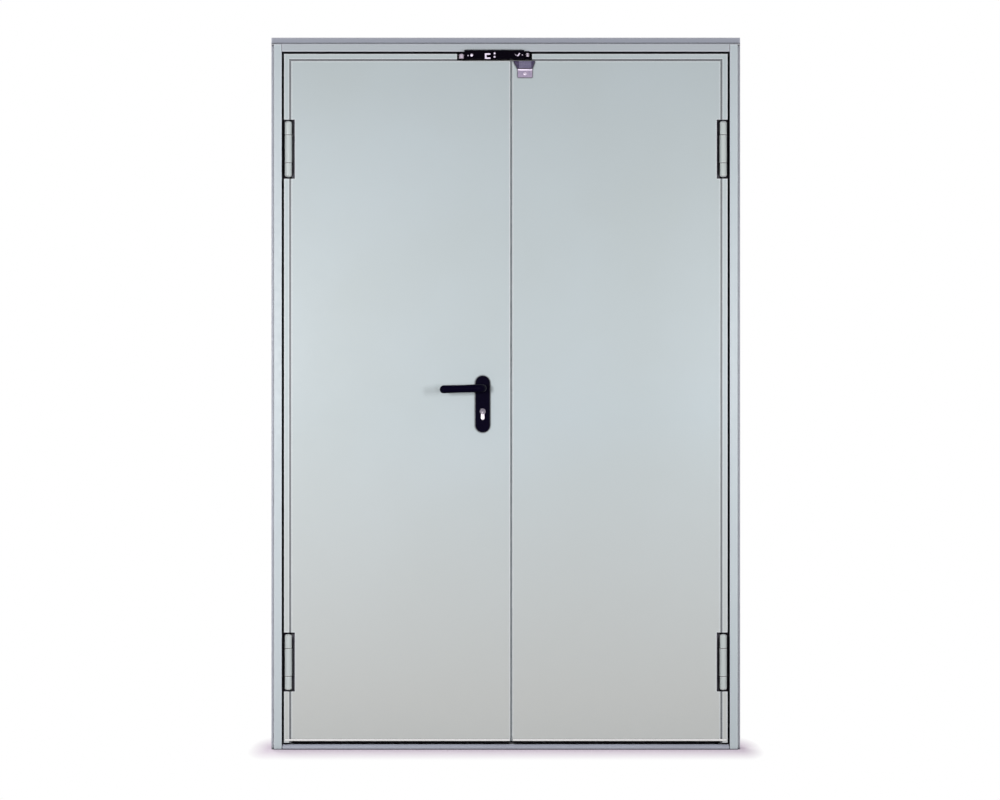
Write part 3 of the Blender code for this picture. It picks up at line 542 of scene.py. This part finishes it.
nickel = metal_finish("nickel_plate", srgb(196, 188, 196), srgb(180, 172, 184), (0.40, 0.52), (1, 0.1, 1))
dull_nickel = metal_finish("dull_nickel", srgb(110, 105, 114), srgb(92, 87, 98), (0.45, 0.6), (1, 0.1, 1))
brushed_steel = metal_finish("brushed_steel", srgb(196, 194, 198), srgb(178, 178, 186), (0.28, 0.45),
                             (1, 1, 0.04))
zinc = metal_finish("zinc_plate", srgb(146, 134, 152), srgb(126, 118, 140), (0.45, 0.6), (1, 1, 1))
bright_zinc = metal_finish("bright_zinc", srgb(214, 202, 218), srgb(196, 186, 204), (0.42, 0.56), (1, 1, 1))
spindle_steel = metal_finish("spindle_steel", srgb(110, 108, 112), srgb(84, 82, 88), (0.35, 0.5),
                             (1, 0.1, 1))
for name in ("lock_forend", "strike_plate", "latch_bolt"):
    finish_node(name, brushed_steel, 0.0004)
finish_node("spindle", spindle_steel, 0.0004)
print("finished nodes so far:", sum(1 for node in nodes.values() if node.modifiers))

# %% [markdown]
# ## Building blocks for the small hardware
#
# Screws, seals and strips come from two shapes: an outline given a thickness, and a profile spun about
# an axis. Both helpers work in metres and can point any way through a frame of directions, so the same
# screw serves a handle plate and a leaf's edge. A third helper joins rings of vertices into one skin.

# %% Helpers for outlines, turned shapes and rings
same_point = 0.000001


def facing(centre, outward, up=(0, 0, 1)):
    """A frame at the centre whose third direction points outward and whose second one is up."""
    out = Vector(outward).normalized()
    across = Vector(up).cross(out).normalized()
    upright = out.cross(across)
    turn = Matrix((across, upright, out)).transposed().to_4x4()
    return Matrix.Translation(Vector(centre)) @ turn


def new_object(name, bm):
    mesh = bpy.data.meshes.new(name)
    bm.to_mesh(mesh)
    bm.free()
    made = bpy.data.objects.new(name, mesh)
    bpy.context.scene.collection.objects.link(made)
    return made


def new_piece(name, bm, material, body, smooth=35):
    """Turn the mesh into a piece that rides on a body, with edges sharper than the angle left sharp."""
    bmesh.ops.remove_doubles(bm, verts=bm.verts, dist=same_point)
    bmesh.ops.recalc_face_normals(bm, faces=bm.faces)
    piece = new_object(name, bm)
    piece.data.shade_smooth()
    piece.data.set_sharp_from_angle(angle=math.radians(smooth))
    piece.data.materials.append(material)
    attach(piece, body)
    return piece


def add_slab(bm, outline, low, high, place, corner=0.0, steps=2):
    """An outline with height from low to high, its upper rim rounded, set in a frame of directions."""
    slab = bmesh.new()
    base = [slab.verts.new((x, y, low)) for x, y in outline]
    bottom = slab.faces.new(base)
    raised = bmesh.ops.extrude_face_region(slab, geom=[bottom])["geom"]
    lifted = [part for part in raised if isinstance(part, bmesh.types.BMVert)]
    bmesh.ops.translate(slab, vec=(0, 0, high - low), verts=lifted)
    if corner:
        rim = [edge for edge in slab.edges if all(vert in lifted for vert in edge.verts)]
        bmesh.ops.bevel(slab, geom=rim, offset=corner, segments=steps, profile=0.5, affect="EDGES")
    bmesh.ops.recalc_face_normals(slab, faces=slab.faces)
    add_copy(bm, slab, place)


def add_turned(bm, profile, place, segments=32):
    """A profile of (radius, height) pairs spun about the frame's third direction."""
    turned = bmesh.new()
    verts = [turned.verts.new((radius, 0, height)) for radius, height in profile]
    edges = [turned.edges.new(pair) for pair in zip(verts, verts[1:])]
    bmesh.ops.spin(turned, geom=verts + edges, axis=(0, 0, 1), cent=(0, 0, 0), angle=2 * math.pi,
                   steps=segments)
    bmesh.ops.remove_doubles(turned, verts=turned.verts, dist=same_point)
    bmesh.ops.recalc_face_normals(turned, faces=turned.faces)
    add_copy(bm, turned, place)


def add_copy(bm, source, place):
    mesh = bpy.data.meshes.new("shape")
    source.to_mesh(mesh)
    source.free()
    mesh.transform(place)
    bm.from_mesh(mesh)
    bpy.data.meshes.remove(mesh)


def join_rings(bm, rings):
    """Faces between each ring of vertices and the next, and one over each end."""
    sides = len(rings[0])
    for ring, following in zip(rings, rings[1:]):
        for step in range(sides):
            beside = (step + 1) % sides
            bm.faces.new((ring[step], ring[beside], following[beside], following[step]))
    bm.faces.new(rings[0])
    bm.faces.new(rings[-1])


def arc_points(centre, radius, start, end, steps):
    angles = [math.radians(start + (end - start) * step / steps) for step in range(steps + 1)]
    return [(centre[0] + radius * math.cos(a), centre[1] + radius * math.sin(a)) for a in angles]


def rounded_rectangle(width, height, radius, steps=4):
    x, y = width / 2 - radius, height / 2 - radius
    points = []
    for corner, start in (((x, y), 0), ((-x, y), 90), ((-x, -y), 180), ((x, -y), 270)):
        points += arc_points(corner, radius, start, start + 90, steps)
    return points


def dome_points(radius, height, steps):
    """The profile of a dome from its top down to its rim."""
    angles = [math.radians(step * 90 / steps) for step in range(steps + 1)]
    return [(radius * math.sin(a), height * math.cos(a)) for a in angles]


# %% Cutting shapes out of a piece
def carve(piece, cutters, crossed=False):
    """Cut the shapes out for good, and remove them. Crossed says that a shape runs through itself."""
    for cutter in cutters:
        cut = piece.modifiers.new(cutter.name, "BOOLEAN")
        cut.operation = "DIFFERENCE"
        cut.use_self = crossed
        cut.object = cutter
    bpy.context.view_layer.update()
    evaluated = piece.evaluated_get(bpy.context.evaluated_depsgraph_get())
    carved = bpy.data.meshes.new_from_object(evaluated)
    piece.modifiers.clear()
    piece.data = carved
    for cutter in cutters:
        bpy.data.objects.remove(cutter)


# %% [markdown]
# ## Screws
#
# A screw head this small is still more than a disc: a low dome, a cross recess, and the shadow line round
# its seat. The recess is cut with a Boolean from two crossed wedges, once, and every screw of that size
# shares the result.

# %% Screw heads with a cross recess
def screw_mesh(name, radius, height, material):
    bm = bmesh.new()
    seat = [(radius, -height / 3), (0, -height / 3)]
    add_turned(bm, dome_points(radius, height, 6) + seat, Matrix.Identity(4), 28)
    head = new_object(name, bm)
    cross = bmesh.new()
    for turn in (0, 90):
        wedge = rounded_rectangle(radius * 1.15, radius * 0.26, radius * 0.08, 2)
        add_slab(cross, wedge, height * 0.25, height * 2, Matrix.Rotation(math.radians(turn), 4, "Z"))
    carve(head, [new_object("recess", cross)], crossed=True)
    cut_mesh = head.data
    bpy.data.objects.remove(head)
    cut_mesh.shade_smooth()
    cut_mesh.set_sharp_from_angle(angle=math.radians(35))
    cut_mesh.materials.clear()
    cut_mesh.materials.append(material)
    cut_mesh.name = name
    return cut_mesh


def add_screw(name, shared_mesh, centre, outward, body, turn=20):
    screw = bpy.data.objects.new(name, shared_mesh)
    points_up = abs(outward[2]) > 0.9
    screw.matrix_world = facing(centre, outward, (1, 0, 0) if points_up else (0, 0, 1))
    screw.matrix_world @= Matrix.Rotation(math.radians(turn), 4, "Z")
    bpy.context.scene.collection.objects.link(screw)
    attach(screw, body)


small_head, large_head = 0.0036, 0.0048
head_rise = 0.0012
plate_screw = screw_mesh("plate_screw", small_head, head_rise, nickel)
floor_screw = screw_mesh("floor_screw", large_head, head_rise, brushed_steel)
print("screw mesh:", len(plate_screw.polygons), "faces")

# %% [markdown]
# ## Lever handles
#
# The lever is a round bar that leaves the plate, bends and runs towards the hinges, where it ends in a
# dome. It drops by a few millimetres towards its end, as in the photograph. It could be a curve with a
# bevel, but a lofted mesh lets the collar at the plate and the slight waist of the grip be part of one
# skin. Rings are placed along the path, each square to it, and joined into a tube.

# %% Lever handles on both sides
lever_low, lever_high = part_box("front_lever")
lever_radius = (lever_high.z - lever_low.z) / 2
spindle_low, spindle_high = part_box("spindle")
spindle_x = (spindle_low.x + spindle_high.x) / 2
spindle_z = (lever_low.z + lever_high.z) / 2
lever_droop = 0.0035
lever_bend = 0.020
lever_sides = 32
collar_share = 1.10
collar_end, grip_start = 0.0035, 0.0042
waist = 0.05


def lever_path(start_y, grip_y, tip_x):
    """Stations of (x, y, direction angle, radius share), from the plate round the bend to the domed end."""
    out = 1 if grip_y > start_y else -1
    stations = [(spindle_x, start_y, 0, collar_share),
                (spindle_x, start_y + out * collar_end, 0, collar_share),
                (spindle_x, start_y + out * grip_start, 0, 1.0)]
    centre_x, centre_y = spindle_x - lever_bend, grip_y - out * lever_bend
    for step in range(13):
        angle = math.radians(7.5 * step)
        x = centre_x + lever_bend * math.cos(angle)
        y = centre_y + out * lever_bend * math.sin(angle)
        stations.append((x, y, 7.5 * step, 1.0))
    for step in range(1, 9):
        share = step / 8
        x = centre_x + (tip_x + lever_radius - centre_x) * share
        stations.append((x, grip_y, 90, 1.0 - waist * math.sin(math.pi * share)))
    for step in range(1, 9):
        angle = math.radians(11.25 * step)
        x = tip_x + lever_radius * (1 - math.sin(angle))
        stations.append((x, grip_y, 90, max(math.cos(angle), 0.02)))
    return stations, out


def add_lever(name, node, material):
    low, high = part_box(node)
    front = low.y < -0.05
    start_y = high.y if front else low.y
    grip_y = low.y + lever_radius if front else high.y - lever_radius
    stations, out = lever_path(start_y, grip_y, low.x)
    bm = bmesh.new()
    rings = []
    for x, y, angle, share in stations:
        turn = math.radians(angle)
        across = Vector((math.cos(turn), out * math.sin(turn), 0))
        radius = lever_radius * share
        centre = Vector((x, y, spindle_z - lever_droop * (spindle_x - x) / (spindle_x - low.x)))
        ring = []
        for step in range(lever_sides):
            a = 2 * math.pi * step / lever_sides
            rise = Vector((0, 0, radius * math.sin(a)))
            ring.append(bm.verts.new(centre + across * radius * math.cos(a) + rise))
        rings.append(ring)
    join_rings(bm, rings)
    lever = new_piece(name, bm, material, "handle", 50)
    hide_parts(node)


add_lever("front_lever_grip", "front_lever", handle_black)
add_lever("back_lever_grip", "back_lever", handle_black)
print("lever reach from plate, millimetres:", round(1000 * (lever_high.y - lever_low.y), 1))

# %% [markdown]
# ## Handle plates
#
# The long plates keep their CAD shape with a rounded rim. Only the back one shows its two fixing screws,
# because such a pair is screwed together from the safe side of the door.

# %% Handle plates and their screws
for name in ("front_handle_plate", "back_handle_plate"):
    finish_node(name, handle_black, 0.0006)
plate_low, plate_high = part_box("back_handle_plate")
screw_heights = (plate_low.z + 0.014, plate_high.z - 0.012)
for number, height in enumerate(screw_heights):
    add_screw(f"plate_screw_{number}", plate_screw, (spindle_x, plate_high.y, height), (0, 1, 0),
              "active_leaf", 25 + 40 * number)
print("plate screws at", [round(height, 3) for height in screw_heights])

# %% [markdown]
# ## Lock cylinder
#
# The cylinder has a keyhole outline: a round barrel above a narrower leg. In the photograph the barrel is
# dull from keys and the leg still bright, so each is a piece with its own nickel. The plug turns in the
# barrel, so a fine groove runs round it, and the key slot crosses it. Both are cut in with Booleans.

# %% Lock cylinder with plug and key slot
cylinder_low, cylinder_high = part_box("lock_cylinder")
barrel_radius = (cylinder_high.x - cylinder_low.x) / 2
leg_radius = 0.005
barrel_z = cylinder_high.z - barrel_radius
leg_z = cylinder_low.z + leg_radius
middle_y = (cylinder_low.y + cylinder_high.y) / 2
half_depth = (cylinder_high.y - cylinder_low.y) / 2


def cylinder_piece(name, outline, material, shorter):
    """One outline through the whole leaf, with a rounded rim on both sides."""
    bm = bmesh.new()
    for outward in (-1, 1):
        place = facing((spindle_x, middle_y, barrel_z), (0, outward, 0))
        add_slab(bm, outline, 0, half_depth - shorter, place, 0.0005)
    piece = new_piece(name, bm, material, "active_leaf")
    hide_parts("lock_cylinder")
    return piece


barrel_outline = arc_points((0, 0), barrel_radius, 0, 360, 48)[:-1]
leg_outline = arc_points((0, leg_z - barrel_z), leg_radius, 180, 360, 14)
leg_outline += [(leg_radius, 0), (-leg_radius, 0)]
cylinder_leg = cylinder_piece("cylinder_leg", leg_outline, nickel, 0.0001)
cylinder_barrel = cylinder_piece("cylinder_barrel", barrel_outline, dull_nickel, 0)

# %% Groove round the plug, and the key slot
plug_radius, groove_radius = 0.0056, 0.0061
groove_floor = half_depth - 0.0006
slot_floor = half_depth - 0.004
past_face = half_depth + 0.001
slot_tilt = -28
groove_section = [(plug_radius, groove_floor), (plug_radius, past_face), (groove_radius, past_face),
                  (groove_radius, groove_floor), (plug_radius, groove_floor)]
slot_outline = rounded_rectangle(0.0014, 0.0082, 0.0005, 2)
cutters = []
for outward in (-1, 1):
    face = facing((spindle_x, middle_y, barrel_z), (0, outward, 0))
    ring = bmesh.new()
    add_turned(ring, groove_section, face, 40)
    cutters.append(new_object("plug_groove", ring))
    slot = bmesh.new()
    tilted = face @ Matrix.Rotation(math.radians(slot_tilt), 4, "Z")
    add_slab(slot, slot_outline, slot_floor, past_face, tilted)
    cutters.append(new_object("key_slot", slot))
carve(cylinder_barrel, cutters)
print("cylinder faces:", len(cylinder_barrel.data.polygons) + len(cylinder_leg.data.polygons))

# %% [markdown]
# ## Plates in the meeting edges
#
# Where the leaves meet, the lock's forend and the strike plate are let into the edges and held by two
# screws each. They show only when a leaf is open, but then they are at eye level. Each edge is planed a
# little, so a screw points along the plate's own slope, which follows from the boxes of the plates.

# %% Screws in forend and strike plate
edge_plate_thickness = 0.003
edge_screw_inset = 0.010


def edge_screws(node, body, outward):
    low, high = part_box(node)
    lean = (high.x - low.x - edge_plate_thickness) / (high.y - low.y)
    direction = (outward, abs(lean), 0)
    face_x = (high.x if outward > 0 else low.x) - outward * abs(lean) * (high.y - low.y) / 2
    face_y = (low.y + high.y) / 2
    for number, inset in enumerate((edge_screw_inset, high.z - low.z - edge_screw_inset)):
        add_screw(f"{node}_screw_{number}", plate_screw, (face_x, face_y, low.z + inset), direction,
                  body, 15 + 50 * number)
    print(node, "leans by", round(math.degrees(math.atan(abs(lean))), 1), "degrees")


edge_screws("lock_forend", "active_leaf", 1)
edge_screws("strike_plate", "passive_leaf", -1)

# %% [markdown]
# ## Seals
#
# A fire door's seals are extruded strips, the same section over their whole length: a flat foot in the
# rebate and two soft lips towards the leaf. Drawing that section once and running it along each side is
# how they are really made, and it gives the lips their true highlights.

# %% Lipped seals in the rebate
def seal_rubber():
    material, tree, shader = new_finish("seal_rubber_black")
    dust = add_range(tree, add_noise(tree, 120, 4), 0.5, 0.75, 0, 1)
    tree.links.new(add_mix(tree, dust, srgb(20, 8, 26), srgb(38, 30, 44)), shader.inputs["Base Color"])
    shader.inputs["Roughness"].default_value = 0.8
    add_bump(tree, shader, add_noise(tree, 1500, 2), 0.3, 0.0002)
    return material


def lipped_section(width, height):
    """Half-round lips on a flat foot, as (across, out) points going round."""
    points = [(width / 2, 0), (width / 2, height * 0.45)]
    for centre in (width * 0.27, -width * 0.27):
        points += arc_points((centre, height * 0.45), width * 0.2, 0, 180, 8)
    points += [(-width / 2, height * 0.45), (-width / 2, 0)]
    top = max(y for x, y in points)
    return [(x, y * height / top) for x, y in points]


def add_seal(name, node, along, outward, body="frame", material=None):
    low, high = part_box(node)
    centre = (low + high) / 2
    sizes = high - low
    direction = Vector(along)
    out = Vector(outward)
    length = abs(sizes.dot(direction))
    height = abs(sizes.dot(out))
    across = out.cross(direction)
    width = abs(sizes.dot(across))
    foot = centre - out * height / 2 - direction * length / 2
    place = Matrix((across, out, direction)).transposed().to_4x4()
    bm = bmesh.new()
    add_slab(bm, lipped_section(width, height), 0, length, Matrix.Translation(foot) @ place)
    seal = new_piece(name, bm, material or rubber, body, 50)
    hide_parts(node)
    print(name, "is", round(length, 3), "metres long")


rubber = seal_rubber()
for side in ("left", "right"):
    add_seal(f"{side}_lipped_seal", f"{side}_seal", (0, 0, 1), (0, -1, 0))
add_seal("head_lipped_seal", "head_seal", (1, 0, 0), (0, -1, 0))
add_seal("bottom_lipped_seal", "bottom_seal", (1, 0, 0), (0, -1, 0))

# %% [markdown]
# ## Seal between the leaves
#
# In the photograph the line between the leaves is slate grey and not black, so the strip that fills it is
# a paler rubber. It has the same lipped section, turned towards the viewer.

# %% Slate-grey seal on the active leaf's edge
slate, slate_tree, slate_shader = new_finish("slate_rubber")
slate_dust = add_range(slate_tree, add_noise(slate_tree, 60, 3), 0.4, 0.7, 0, 1)
slate_tree.links.new(add_mix(slate_tree, slate_dust, srgb(172, 181, 187), srgb(186, 193, 198)),
                     slate_shader.inputs["Base Color"])
slate_shader.inputs["Roughness"].default_value = 0.75
add_seal("meeting_lipped_seal", "meeting_seal", (0, 0, 1), (0, -1, 0), "active_leaf", slate)

# %% [markdown]
# ## Bottom hems
#
# Along the bottom of each leaf the front sheet is turned up into a narrow hem, a bright line over the
# black gap. It stands proud by less than a millimetre, and its paint is a much paler copy of the leaf's:
# a painted highlight. A strip with a rounded rim is enough, because all that shows of a hem is its front.

# %% Hem along each front sheet
hem_height = 0.0056
hem_thickness = 0.0009
hem_middle = 0.0032
hem_sunk = 0.0002
hem_shorter = 0.001
for leaf in ("active", "passive"):
    sheet_low, sheet_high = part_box(f"{leaf}_leaf_front_sheet")
    hem_outline = rounded_rectangle(sheet_high.x - sheet_low.x - hem_shorter, hem_height, 0.0012)
    middle = ((sheet_low.x + sheet_high.x) / 2, sheet_low.y + hem_sunk, sheet_low.z + hem_middle)
    bm = bmesh.new()
    add_slab(bm, hem_outline, 0, hem_thickness, facing(middle, (0, -1, 0)), 0.0005)
    new_piece(f"{leaf}_leaf_hem", bm, hem_highlight_paint, f"{leaf}_leaf")
print("hem height, millimetres:", 1000 * hem_height)

# %% [markdown]
# ## Threshold screws
#
# The threshold is screwed to the floor with countersunk screws, which a foot never catches on. They lie
# on its flat part, under the closed leaves, and show as soon as a leaf is open.

# %% Screws along the threshold
threshold_low, threshold_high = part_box("threshold")
flat_y = threshold_low.y + 0.040
flat_z = 0.0155
end_inset = 0.09
floor_screws = 6
spacing = (threshold_high.x - threshold_low.x - 2 * end_inset) / (floor_screws - 1)
for number in range(floor_screws):
    x = threshold_low.x + end_inset + number * spacing
    add_screw(f"threshold_screw_{number}", floor_screw, (x, flat_y, flat_z), (0, 0, 1), "frame",
              33 * number)
print("between threshold screws, millimetres:", round(1000 * spacing))

# %% [markdown]
# ## Fixings in the frame
#
# The frame is held in the wall through its rebate. Each fixing hole is closed with a painted cap: a low
# mushroom with a thin rim. They sit behind the closed leaves, three to a side.

# %% Caps over the frame's fixings
reveals = (("left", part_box("left_jamb")[1].x, 1), ("right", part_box("right_jamb")[0].x, -1))
cap_profile = [(0, 0.0014), (0.0035, 0.0013), (0.0058, 0.0009), (0.0066, 0.0004), (0.0068, 0), (0, 0)]
cap_y = 0.012
cap_heights = (0.32, 1.02, 1.72)
for side, reveal_x, outward in reveals:
    for number, height in enumerate(cap_heights):
        bm = bmesh.new()
        add_turned(bm, cap_profile, facing((reveal_x, cap_y, height), (outward, 0, 0)), 28)
        new_piece(f"{side}_fixing_cap_{number}", bm, frame_paint, "frame", 60)
print("clear width of the doorway, millimetres:", round(1000 * (reveals[1][1] - reveals[0][1])))

# %% [markdown]
# ## Fire strips in the jambs
#
# In a fire a flat strip in each jamb swells and closes the gap beside the leaf. It also stops the light
# that would otherwise shine through the gap at both ends of a hinge pocket. It keeps a millimetre clear
# of the closed leaf.

# %% Fire strip along each jamb
strip_middle_y = -0.009
strip_width = 0.010
strip_rise = 0.005
end_room = 0.001
strip_low = threshold_high.z + end_room
strip_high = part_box("head")[0].z - end_room
strip_outline = rounded_rectangle(strip_width, strip_high - strip_low, 0.001)
for side, reveal_x, outward in reveals:
    bm = bmesh.new()
    strip_place = facing((reveal_x, strip_middle_y, (strip_low + strip_high) / 2), (outward, 0, 0))
    add_slab(bm, strip_outline, 0, strip_rise, strip_place, 0.0008)
    new_piece(f"{side}_fire_strip", bm, rubber, "frame")
print("fire strips, metres:", round(strip_low, 4), "to", round(strip_high, 4), "above the floor")

# %% [markdown]
# ## Closing selector
#
# The selector makes the right-hand leaf close before the left one. A black arm swings from a pivot under
# the head, with a pale roller at its tip. On the arm's face sit two rivets, a silver slide with two
# dimples, and a small bent clip; the pivot shows as a bright pin with a bright coil spring round it. The
# CAD nodes give the main solids, and the small bright bits are built here on the arm's face.

# %% Selector base, arm, pins and slide
finish_node("selector_base", selector_black, 0.0004)
finish_node("selector_arm", selector_black, 0.0005)
for name in ("selector_pivot_pin", "selector_axle", "selector_catch_tab"):
    finish_node(name, zinc, 0.0003)
finish_node("selector_slide", bright_zinc, 0.0002)
spring_zinc = metal_finish("spring_zinc", srgb(250, 240, 252), srgb(236, 226, 240), (0.5, 0.65), (1, 1, 1))
for place in nodes["selector_spring"].material_slots:
    place.material = spring_zinc
arm_low, arm_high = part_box("selector_arm")
arm_face = arm_low.y
arm_foot = arm_low.z


def add_rivet(name, x, rise, radius, height):
    """A domed rivet on the arm's face, placed by its rise over the arm's lower edge."""
    bm = bmesh.new()
    place = facing((x, arm_face, arm_foot + rise), (0, -1, 0))
    add_turned(bm, dome_points(radius, height, 5) + [(0, 0)], place, 24)
    new_piece(name, bm, bright_zinc, "selector", 60)


add_rivet("arm_rivet", -0.0982, 0.011, 0.0044, 0.0016)
add_rivet("arm_rivet_small", -0.1085, 0.010, 0.0020, 0.0010)
add_rivet("slide_dimple_upper", -0.0322, 0.0165, 0.0030, 0.0012)
add_rivet("slide_dimple_lower", -0.0322, 0.0065, 0.0030, 0.0012)
print("arm length, millimetres:", round(1000 * (arm_high.x - arm_low.x)))

# %% [markdown]
# ## Spring clip on the arm
#
# A short strip of spring steel, bent like a tick, lies on the arm near its pivot. It is a line of points
# with a width and a thickness, skinned like the levers.

# %% Bent spring clip
def add_clip(name, points, width, thickness):
    """A flat strip along points of (x, rise over the arm's lower edge), standing off the arm's face."""
    section = ((-width / 2, 0, width / 4), (-width / 2, thickness, width / 4),
               (width / 2, thickness, -width / 4), (width / 2, 0, -width / 4))
    bm = bmesh.new()
    rings = []
    for x, rise in points:
        z = arm_foot + rise
        rings.append([bm.verts.new((x + dx, arm_face - dy, z + dz)) for dx, dy, dz in section])
    join_rings(bm, rings)
    new_piece(name, bm, bright_zinc, "selector")


tick = [(0.0265, 0.0135), (0.0300, 0.0105), (0.0335, 0.0080), (0.0365, 0.0115), (0.0400, 0.0165)]
add_clip("spring_clip", tick, 0.0030, 0.0012)
add_rivet("clip_rivet", 0.0475, 0.0115, 0.0016, 0.0010)
print("clip width, millimetres:", round(1000 * (tick[-1][0] - tick[0][0]), 1))

# %% [markdown]
# ## Roller
#
# The roller at the arm's tip is pale plastic, slightly crowned so that it runs true on the leaf's edge,
# with a chamfer at both ends. It is turned about its axle.

# %% Crowned roller
def pale_plastic():
    material, tree, shader = new_finish("pale_roller_plastic")
    scuffs = add_range(tree, add_noise(tree, 420, 3, (1, 1, 3)), 0.5, 0.72, 0, 1)
    scuffed = add_mix(tree, scuffs, srgb(206, 192, 210), srgb(160, 148, 166))
    tree.links.new(scuffed, shader.inputs["Base Color"])
    add_uneven_gloss(tree, shader, 200, (0.4, 0.6))
    add_bump(tree, shader, add_noise(tree, 1600, 2), 0.2, 0.00008)
    return material


roller_low, roller_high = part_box("selector_roller")
roller_radius = (roller_high.x - roller_low.x) / 2
roller_middle = (roller_low + roller_high) / 2
half = (roller_high.z - roller_low.z) / 2
bore_radius = 0.0023
chamfer = 0.0009
crown = 0.0004
shoulder = roller_radius - chamfer - 0.0002
rolled = [(bore_radius, half), (shoulder, half), (roller_radius - crown, half - chamfer),
          (roller_radius, half / 3), (roller_radius, -half / 3), (roller_radius - crown, chamfer - half),
          (shoulder, -half), (bore_radius, -half), (bore_radius, half)]
bm = bmesh.new()
add_turned(bm, rolled, Matrix.Translation(roller_middle), 40)
roller = new_piece("crowned_roller", bm, pale_plastic(), "selector", 30)
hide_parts("selector_roller")
print("roller diameter, millimetres:", round(2000 * roller_radius, 1))

# %% [markdown]
# ## Catch
#
# Under the selector a tapered block of violet-grey plastic sits on the passive leaf. Its middle is a
# raised, ribbed pad in that violet-grey, and the rest of the block, with its two flanks, has a darker copy
# of the colour: painted shade. Below it a zinc tab is held by one screw under a folded bright lip.

# %% Catch with its ribbed pad and tab
finish_node("selector_catch", catch_shade)
catch_low, catch_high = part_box("selector_catch")
tab_low, tab_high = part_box("selector_catch_tab")
pad_left, pad_right = tab_low.x + 0.004, tab_high.x - 0.003
pad_middle = (pad_left + pad_right) / 2
ribs = 5
lowest_rib = catch_low.z + 0.0035
rib_spacing = (catch_high.z - catch_low.z - 0.006) / (ribs - 1)
rib_outline = rounded_rectangle(pad_right - pad_left, 0.0032, 0.001)
rib_rise = 0.0010
bm = bmesh.new()
for rib in range(ribs):
    place = facing((pad_middle, catch_low.y + 0.0002, lowest_rib + rib * rib_spacing), (0, -1, 0))
    add_slab(bm, rib_outline, 0, rib_rise, place, 0.0004)
new_piece("catch_ribs", bm, catch_violet, "passive_leaf")
print("ribs on the catch:", ribs)

# %% Lip and screw on the tab
tab_middle = (tab_low.x + tab_high.x) / 2
lip_outline = rounded_rectangle(tab_high.x - tab_low.x - 0.001, 0.0048, 0.0012)
lip_rise = 0.0014
lip_place = facing((tab_middle, tab_low.y + 0.0001, tab_high.z - 0.0030), (0, -1, 0))
bm = bmesh.new()
add_slab(bm, lip_outline, 0, lip_rise, lip_place, 0.0006)
new_piece("tab_lip", bm, bright_zinc, "passive_leaf")
tab_screw = screw_mesh("tab_screw", large_head, 0.0016, bright_zinc)
screw_place = (tab_middle, tab_low.y, tab_low.z + 0.0105)
add_screw("catch_tab_screw", tab_screw, screw_place, (0, -1, 0), "passive_leaf", 40)
print("tab width, millimetres:", round(1000 * (tab_high.x - tab_low.x), 1))

# %% Plain view transform
bpy.context.scene.view_settings.view_transform = "Standard"
